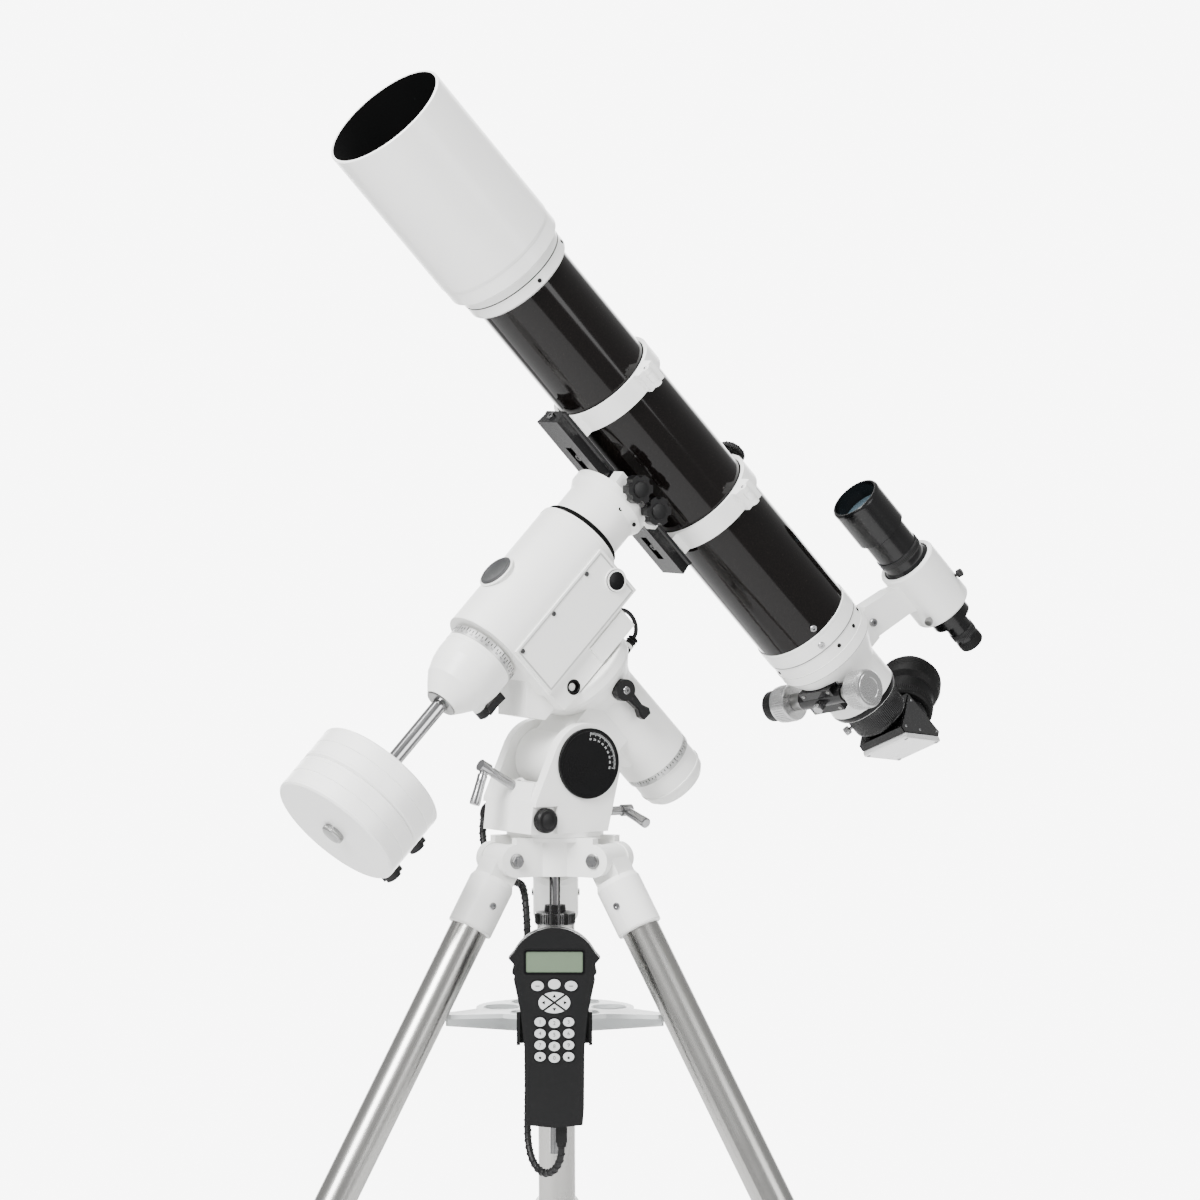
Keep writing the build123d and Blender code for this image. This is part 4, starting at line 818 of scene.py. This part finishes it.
# ---- rings and bar -------------------------------------------------------
for name, station in (("rear", -96.0), ("front", 98.0)):
    body = f"ring_top_{name}"
    pivot = frame_at(at(station, 272.15, -76.2), POLE, DEC)
    for part, end in (("low", -1), ("high", 1)):
        lathe(f"ring_pin_{name}_{part}", pivot, [(0, end * 12.9), (2.2, end * 12.9), (2.2, end * 13.5),
              (1.4, end * 14.1), (0, end * 14.3)], chrome, "telescope", 24)
    way = DEC * cos(radians(19)) + FAR * sin(radians(19))
    boss = frame_at(at(station, 256), way, POLE)
    lathe(f"ring_boss_lip_{name}", boss, [(3.2, 74.05), (7.6, 74.05), (9.1, 73.2), (9.2, 72.6), (9.2, 70.8),
          (9.05, 70.8), (9.0, 73.0), (3.2, 73.98)], paint, body, 48)
    for edge, level in (("a", station - 13.05), ("b", station + 13.05)):
        felt = 0.0 if edge == "a" else -1.2
        lathe(f"ring_felt_{name}_{edge}", OPTICAL, [(60.55, level + felt), (61.6, level + felt),
              (61.6, level + felt + 1.2), (60.55, level + felt + 1.2)], matte_black, "telescope",
              128)
    lathe(f"ring_knob_cap_{name}", frame_at(at(station, 256, 70), DEC, POLE), [(0, 46.1), (6.2, 46.1),
          (7.4, 46.6), (6.8, 47.6), (0, 47.9)], plastic, f"ring_screw_{name}", 48)
    knurl(f"ring_knob_grip_{name}", frame_at(at(station, 256, 70), DEC, POLE), 13.2, 36.4, 42.6, 30, 0.5,
          plastic, f"ring_screw_{name}")
screw_place = frame_at(at(-96, 256), DEC * cos(radians(19)) + FAR * sin(radians(19)), POLE)
knurl("camera_screw_rim", screw_place, 17.3, 80.4, 86.8, 48, 0.6, plastic, "camera_screw")
lathe("camera_screw_face", screw_place, [(3.1, 88.05), (13.2, 88.05), (14.6, 88.4), (14.0, 89.2),
      (3.1, 89.5)], plastic, "camera_screw", 64)
bm = bmesh.new()
for turn in range(3):
    level = 89.9 + turn * 1.25
    rings = []
    for reach, height in ((2.95, level), (3.25, level + 0.45), (3.25, level + 0.7), (2.95, level + 1.15)):
        rings.append([bm.verts.new((reach * cos(tau * k / 24) / 1000, reach * sin(tau * k / 24) / 1000,
              height / 1000)) for k in range(24)])
    for first, second in zip(rings, rings[1:] + rings[:1]):
        for k in range(24):
            bm.faces.new((first[k], first[(k + 1) % 24], second[(k + 1) % 24], second[k]))
finish_piece("camera_screw_thread", bm, screw_place, chrome, "camera_screw")
UNDER = frame_at(CROSS, -DEC, POLE)
for name, middle in (("rear", -82), ("front", 66)):
    prism(f"bar_slot_lining_{name}", UNDER, rounded(34.6, 10.6, 5.0, (middle, 0)), -173.6, -172.2, mark_black,
          "telescope", bevel=0.2)
    screw_heads(f"bar_slot_screw_{name}", [UNDER @ Matrix.Translation((middle / 1000, 0, -0.1722))], 4.8, 3.2,
          screw_grey, "telescope")
prism("bar_underside", UNDER, rounded(88, 30, 1.5, (-8, 0)), -168.02, -167.86, bar_grey, "telescope")
for name, end, way in (("rear", -124.0, -POLE), ("front", 126.0, POLE)):
    place = frame_at(at(end, 177), way, DEC)
    screw_heads(f"bar_stop_screw_{name}", [place], 4.6, 3.0, chrome, "telescope")

# ---- focuser -------------------------------------------------------------
for index, level in enumerate((-314.0, -330.9, -343.4)):
    lathe(f"focuser_seam_{index + 1}", OPTICAL, [(61.1, level - 0.35), (61.9, level - 0.2),
          (61.9, level + 0.2), (61.1, level + 0.35)], mark_black, "telescope", 160)
heads = []
for angle in (-100, -70, -40, 40, 80, 170):
    t = radians(angle)
    out = OPTICAL.to_3x3() @ Vector((cos(t), sin(t), 0))
    heads.append(frame_at(OPTICAL @ mm(61.1 * cos(t), 61.1 * sin(t), -322.5), out))
screw_heads("focuser_screws", heads, 2.5, 0.9, mark_black, "telescope")
lathe("focuser_rear_ring", OPTICAL, [(32.4, -428.05), (40.6, -428.05), (42.2, -427.6), (43.2, -425.6),
      (43.6, -423.4), (44.2, -422.4), (44.2, -419.4), (43.9, -419.0), (32.4, -427.9)], smooth_plastic,
      "telescope", 128)
TILT = radians(15)
PINION_WAY = -DEC * cos(TILT) + NEAR * sin(TILT)
SHAFT_WAY = DEC * sin(TILT) + NEAR * cos(TILT)
PINION = frame_at(at(-378, 256) + PINION_WAY * 0.046, SHAFT_WAY, POLE)
PINION_MOUNT = frame_at(at(-378, 256), PINION_WAY, POLE)
heads = [PINION_MOUNT @ Matrix.Translation((x / 1000, y / 1000, 0.0560)) for x in (-13, 13) for y in (-20,
      20)]
screw_heads("pinion_block_screws", heads, 2.2, 0.8, satin_steel, "telescope")
lock = PINION_MOUNT @ Matrix.Translation((0, 0, 0.056))
knurl("focus_lock_grip", lock, 6.2, 2.4, 12.5, 24, 0.5, chrome, "telescope")
lathe("focus_lock_stem", lock, [(0, 0), (3.0, 0), (3.0, 2), (5.6, 2.2), (6.0, 2.8), (6.0, 12.2), (5.2, 13.0),
      (0, 13.2)], chrome, "telescope", 48)
for name, side in (("near", 1), ("far", -1)):
    knob = frame_at(PINION.translation, SHAFT_WAY * side, POLE)
    knurl(f"focus_knob_grip_{name}", knob, 23.5 if side > 0 else 22.5, 53.5, 68.5, 44, 1.0, knob_silver,
          "focus_shaft")
    lathe(f"focus_knob_collar_{name}", knob, [(4.2, 34.3), (9.4, 34.3), (10.2, 35.0), (10.2, 48.6),
          (9.4, 49.6), (4.2, 49.6)], satin_steel, "telescope", 64)
far_knob = frame_at(PINION.translation, SHAFT_WAY * -1, POLE)
knurl("fine_knob_grip", far_knob, 18.5, 75.4, 87.0, 54, 0.55, plastic, "focus_shaft")
lathe("fine_knob_face", far_knob, [(0, 90.1), (14.2, 90.1), (17.0, 89.4), (18.3, 88.0), (18.3, 74.4),
      (17.2, 72.3), (16.9, 72.6), (17.8, 74.6), (17.8, 88.2), (0, 90.02)], plastic, "focus_shaft",
      64)
near_face = frame_at(PINION.translation, SHAFT_WAY, POLE)
lathe("focus_knob_face", near_face, [(0, 74.1), (12.4, 74.1), (12.8, 74.6), (17.8, 74.6), (18.2, 74.05),
      (20.8, 74.05), (20.6, 73.9), (0, 73.9)], knob_silver, "focus_shaft", 96)

# ---- draw tube, diagonal and eyepiece ------------------------------------
knurl("visual_back_grip", OPTICAL, 35.0, -457.5, -433.0, 96, 0.5, anodised, "draw")
lathe("visual_back_edge", OPTICAL, [(26.1, -462.15), (32.6, -462.15), (34.2, -460.8), (34.7, -459.4),
      (34.4, -458.6), (26.1, -461.9)], anodised, "draw", 96)
spot = Vector((cos(radians(150)), sin(radians(150)), 0))
thumb = frame_at(OPTICAL @ (spot * 0.0345 + Vector((0, 0, -0.449))), OPTICAL.to_3x3() @ spot, POLE)
lathe("back_thumbscrew_stem", thumb, [(0, -1), (2.2, -1), (2.2, 3), (4.4, 3.3), (4.9, 3.9), (4.9, 10.4),
      (4.2, 11), (0, 11.2)], chrome, "draw", 32)
knurl("back_thumbscrew_grip", thumb, 5.2, 4.2, 10.2, 24, 0.4, chrome, "draw")
EYE_WAY = DEC * cos(radians(36)) + FAR * sin(radians(36))
EYE = frame_at(at(-500, 256), EYE_WAY, POLE)
SIDE_WAY = POLE.cross(EYE_WAY)
for name, side in (("near", 1), ("far", -1)):
    plate = frame_at(at(-500, 256), SIDE_WAY * side, POLE)
    flip = 1 if (plate.to_3x3() @ Vector((0, 1, 0))).dot(EYE_WAY) > 0 else -1
    outline = [(32.6, -30.8), (32.6, 30.8), (-32.6, 30.8), (-32.6, 23.4), (25.6, -32.6)]
    prism(f"diagonal_plate_{name}", plate, [(x, y * flip) for x, y in outline], 30.02, 31.6, anodised,
          "diagonal", bevel=0.5)
    heads = [plate @ Matrix.Translation((x / 1000, y * flip / 1000, 0.0316)) for x,
          y in ((27, 25), (-27, 25), (27, -24), (2, -4))]
    screw_heads(f"diagonal_screws_{name}", heads, 1.9, 0.8, chrome, "diagonal")
slope = Vector((-34, 24)) - Vector((26, -34))
slope.normalize()
back_way = (POLE * -slope.y + EYE_WAY * slope.x)
if back_way.dot(POLE) > 0:
    back_way = -back_way
back_middle = at(-500, 256) + (POLE * -4 + EYE_WAY * -5) / 1000
back = frame_at(back_middle, back_way, SIDE_WAY)
prism("diagonal_back_plate", back, rounded(63, 84, 3), 0.05, 7.0, back_silver, "diagonal",
      bevel=1.6)
screw_heads("diagonal_back_screws", [back @ Matrix.Translation((x / 1000, y / 1000, 0.0070)) for x in (-27,
      27) for y in (-37, 37)], 2.2, 0.9, chrome, "diagonal")
knurl("eyepiece_clamp_ring", EYE, 28.2, 34, 46.5, 72, 0.45, anodised, "diagonal")
lathe("diagonal_collar_step", EYE, [(27.05, 30.1), (29.4, 30.1), (29.8, 30.6), (29.8, 32.4), (29.2, 33.0),
      (27.05, 33.0)], scale_silver, "diagonal", 96)
for index, level in enumerate((99.6, 103.0, 106.4, 109.8)):
    lathe(f"eyecup_rib_{index + 1}", EYE, [(36.2, level - 1.1), (37.7 - index * 0.15, level - 0.5),
          (37.7 - index * 0.15, level + 0.5), (36.0, level + 1.1)], rubber, "diagonal", 96)
lathe("eyepiece_lens", EYE, [(0, 118.6), (9, 118.1), (17.6, 116.4), (17.6, 116.1), (0, 116.1)], eye_glass,
      "diagonal", 64)
lathe("eyepiece_lens_ring", EYE, [(17.6, 117.1), (19.8, 117.1), (20.2, 118.2), (19.4, 118.8), (17.8, 118.4)],
      smooth_plastic, "diagonal", 64)
knurl("eyepiece_grip", EYE, 33.4, 54, 65, 84, 0.45, rubber, "diagonal")

# ---- finder --------------------------------------------------------------
lathe("finder_lens_front", FINDER, [(0, -266.2), (14, -266.8), (27.9, -267.9), (0, -267.95)], eye_glass,
      "telescope", 64)
lathe("finder_hood_lip", FINDER, [(28.05, -247.0), (29.8, -246.8), (31.2, -248.2), (31.7, -250.0),
      (31.6, -252.4), (31.5, -252.4), (31.4, -249.2), (28.05, -247.4)], anodised, "telescope",
      96)
knurl("finder_lock_ring", FINDER, 28.3, -343, -334, 72, 0.5, anodised, "telescope")
lathe("finder_eye_rubber", FINDER, [(11.0, -497.1), (13.6, -497.1), (15.0, -495.7), (15.6, -492),
      (15.2, -484), (15.05, -484), (14.9, -494.9), (13.9, -496.9), (11.0, -497.0)], rubber, "telescope",
      64)
knurl("finder_eye_ring", FINDER, 15.8, -480, -470, 48, 0.45, anodised, "telescope")
lathe("finder_eye_glass", FINDER, [(0, -497.3), (8, -497.2), (10.6, -497.1), (10.6, -496.9), (0, -496.9)],
      eye_glass, "telescope", 48)
for index, (level, angle, look, slot) in enumerate(((-405, 315, plastic, "black_plastic"),
      (-419, 210, satin_steel, "bright_steel"), (-405, 90, plastic, "black_plastic"))):
    t = radians(angle)
    spot = Vector((cos(t), sin(t), 0))
    thumb = frame_at(FINDER @ (spot * 0.0365 + Vector((0, 0, level / 1000))), FINDER.to_3x3() @ spot, POLE)
    lathe(f"finder_screw_{index + 1}", thumb, [(0, -4), (1.9, -4), (1.9, 3.0), (4.0, 3.3), (4.6, 3.9),
          (4.6, 9.6), (3.9, 10.2), (0, 10.4)], look, "telescope", 32)
    knurl(f"finder_screw_grip_{index + 1}", thumb, 4.9, 4.2, 9.4, 20, 0.4, look, "telescope")
screw_heads("finder_bracket_screw", [frame_at(at(-366, 321, -11), NEAR)], 5.0, 3.4, chrome, "telescope")

# ---- handset -------------------------------------------------------------
HANDSET = frame_at(OUT * 0.116 + UP * 0.427, OUT, RIGHT)
prism("handset_screen_glass", HANDSET, rounded(64.4, 23.6, 2.0, (0, 189)), 14.02, 14.5, screen_green,
      "tripod_head", bevel=0.1)
bm = bmesh.new()
outer = rounded(69.4, 28.6, 3.4, (0, 189))
inner = rounded(64.6, 23.8, 2.2, (0, 189))
rings = [[bm.verts.new(Vector((x, y, level)) / 1000) for x, y in line] for line,
      level in ((outer, 15.0), (outer, 15.5), (inner, 15.5), (inner, 14.2))]
for first, second in zip(rings, rings[1:]):
    for k in range(len(outer)):
        j = (k + 1) % len(outer)
        bm.faces.new((first[k], first[j], second[j], second[k]))
finish_piece("handset_screen_frame", bm, HANDSET, smooth_plastic, "tripod_head")
items = []
for index, text in enumerate(("1", "2", "3", "4", "5", "6", "7", "8", "9", "", "0", "")):
    column, row = index % 3 - 1, index // 3
    if text:
        y = 121 - row * 13.2 - (1.5 if column == 0 else 0)
        items.append((text, 6.2, HANDSET @ Matrix.Translation((column * 0.0162, y / 1000, 0.0171))))
letters("handset_digits", items, mark_black, "tripod_head")
bm = bmesh.new()
for quarter in range(4):
    turn = Matrix.Translation((0, 0.143, 0)) @ Matrix.Rotation(quarter * pi / 2, 4, "Z")
    reach = 12.6 if quarter % 2 == 0 else 7.8
    prism_into(bm, [(reach - 1.9, -2.2), (reach + 1.9, 0), (reach - 1.9, 2.2)], 17.0, 17.12, turn)
for side in (-1, 1):
    centre = side * 16.2
    prism_into(bm, circle(1.5, 16, (centre, 80.2)), 17.0, 17.12)
    prism_into(bm, [(side * 19 - 2.4, 161.4), (side * 19 + 2.4, 161.4), (side * 19 + 2.4, 162.4),
          (side * 19 - 2.4, 162.4)], 17.0, 17.12)
finish_piece("handset_key_signs", bm, HANDSET, mark_black, "tripod_head")
for index, (x, y, rx, ry) in enumerate([(c * 19, 164 - 2 * abs(c), 7, 5.6) for c in (-1, 0, 1)] + [(c * 16.2,
      121 - r * 13.2 - (1.5 if c == 0 else 0), 6.3, 5.2) for r in range(4) for c in (-1, 0, 1)]):
    bm = bmesh.new()
    rings = []
    for grow, level in ((0.35, 15.02), (1.2, 15.02), (1.1, 15.6), (0.35, 15.6)):
        rings.append([bm.verts.new(Vector((x + (rx + grow) * cos(tau * k / 36),
              y + (ry + grow) * sin(tau * k / 36), level)) / 1000) for k in range(36)])
    for first, second in zip(rings, rings[1:] + rings[:1]):
        for k in range(36):
            j = (k + 1) % 36
            bm.faces.new((first[k], first[j], second[j], second[k]))
    finish_piece(f"handset_key_rim_{index + 1}", bm, HANDSET, smooth_plastic, "tripod_head")
body_line = [(0, 0), (-32, 3), (-33.5, 22), (-34, 90), (-38, 130), (-46, 168), (-45, 173), (-48, 176),
      (-46, 186), (-52, 193), (-46, 200)]
bm = bmesh.new()
crown = []
radius = (46 ** 2 + 28 ** 2) / (2 * 28)
for step in range(1, 24):
    x = -46 + 92 * step / 24
    crown.append((x, 228 - radius + (radius ** 2 - x ** 2) ** 0.5))
full = body_line + crown + [(-x, y) for x, y in body_line[::-1][:-1]]

rings = []
for grow, level in ((1.0, 2.4), (1.008, 2.7), (1.008, 3.5), (1.0, 3.8)):
    rings.append([bm.verts.new(Vector((x * grow, 112 + (y - 112) * (1 + (grow - 1) * 0.5),
          level)) / 1000) for x, y in full])
for first, second in zip(rings, rings[1:]):
    for k in range(len(full)):
        j = (k + 1) % len(full)
        bm.faces.new((first[k], first[j], second[j], second[k]))
finish_piece("handset_seam", bm, HANDSET, smooth_plastic, "tripod_head")
lathe("handset_plug_boot", frame_at(beside(8, 116, 409), (0, 0, 1), OUT), [(4.1, -6), (5.2, -5.6), (5.8, -1),
      (6.0, -0.1), (4.1, -0.1)], rubber, "tripod_head", 40)
SOCKET = frame_at(mm(-22, 0, 786), FAR)
knurl("control_plug_grip", SOCKET, 7.0, 62, 73, 30, 0.45, plastic, "azimuth_head")
lathe("control_plug_boot", SOCKET, [(4.1, 80.1), (6.0, 80.1), (5.8, 82), (5.0, 88), (4.1, 89)], rubber,
      "azimuth_head", 40)

# ---- stage ---------------------------------------------------------------
def stage_piece(name, corners, look):
    mesh = bpy.data.meshes.new(name)
    mesh.from_pydata(corners, [], [tuple(range(len(corners)))])
    mesh.materials.append(look)
    piece = bpy.data.objects.new(name, mesh)
    bpy.context.scene.collection.objects.link(piece)
    piece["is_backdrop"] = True
    return piece


ground = material("pale_floor", (0.86, 0.86, 0.86), 0.75, grain=60, bump=0.02, tint=0.01)
stage_piece("floor", [(1.9 * cos(tau * k / 64), 1.9 * sin(tau * k / 64), -0.0005) for k in range(64)], ground)

ROOM_LIGHT = 0.6
BACKDROP_LIGHT = 8.0
BACKDROP_EDGE, BACKDROP_CORE = 0.80, 0.98    # cosines of the angle from the camera's own direction
KEY_POWER, FILL_POWER, TOP_POWER = 420, 70, 150    # watts
world = bpy.data.worlds.new("studio")
world.use_nodes = True
sky = world.node_tree
way_out = sky.nodes.new("ShaderNodeTexCoord")
facing = sky.nodes.new("ShaderNodeVectorMath")
facing.operation = "DOT_PRODUCT"
facing.inputs[1].default_value = (VIEW_FORWARD.x, VIEW_FORWARD.y, 0)
sky.links.new(way_out.outputs["Generated"], facing.inputs[0])
glow = sky.nodes.new("ShaderNodeMapRange")
glow.interpolation_type = "SMOOTHSTEP"
glow.inputs["From Min"].default_value = BACKDROP_EDGE
glow.inputs["From Max"].default_value = BACKDROP_CORE
glow.inputs["To Min"].default_value = ROOM_LIGHT
glow.inputs["To Max"].default_value = BACKDROP_LIGHT
sky.links.new(facing.outputs["Value"], glow.inputs["Value"])
sky.nodes["Background"].inputs["Color"].default_value = (1.0, 1.0, 1.0, 1)
sky.links.new(glow.outputs["Result"], sky.nodes["Background"].inputs["Strength"])
bpy.context.scene.world = world


def softbox(name, place, towards, size, power):
    light = bpy.data.lights.new(name, "AREA")
    light.shape = "RECTANGLE"
    light.size, light.size_y = size
    light.energy = power
    lamp = bpy.data.objects.new(name, light)
    bpy.context.scene.collection.objects.link(lamp)
    lamp.location = place
    lamp.rotation_euler = (Vector(towards) - Vector(place)).to_track_quat("-Z", "Y").to_euler()


MIDDLE = (0, 0, 1.0)
softbox("key", target - VIEW_FORWARD * 2.6 - VIEW_RIGHT * 2.0 + UP * 2.2, MIDDLE, (1.8, 1.8), KEY_POWER)
softbox("fill", target - VIEW_FORWARD * 2.4 + VIEW_RIGHT * 2.6 + UP * 0.6, MIDDLE, (2.0, 2.0), FILL_POWER)
softbox("top", target + UP * 2.9 - VIEW_RIGHT * 0.4, MIDDLE, (1.6, 2.4), TOP_POWER)

low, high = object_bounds()
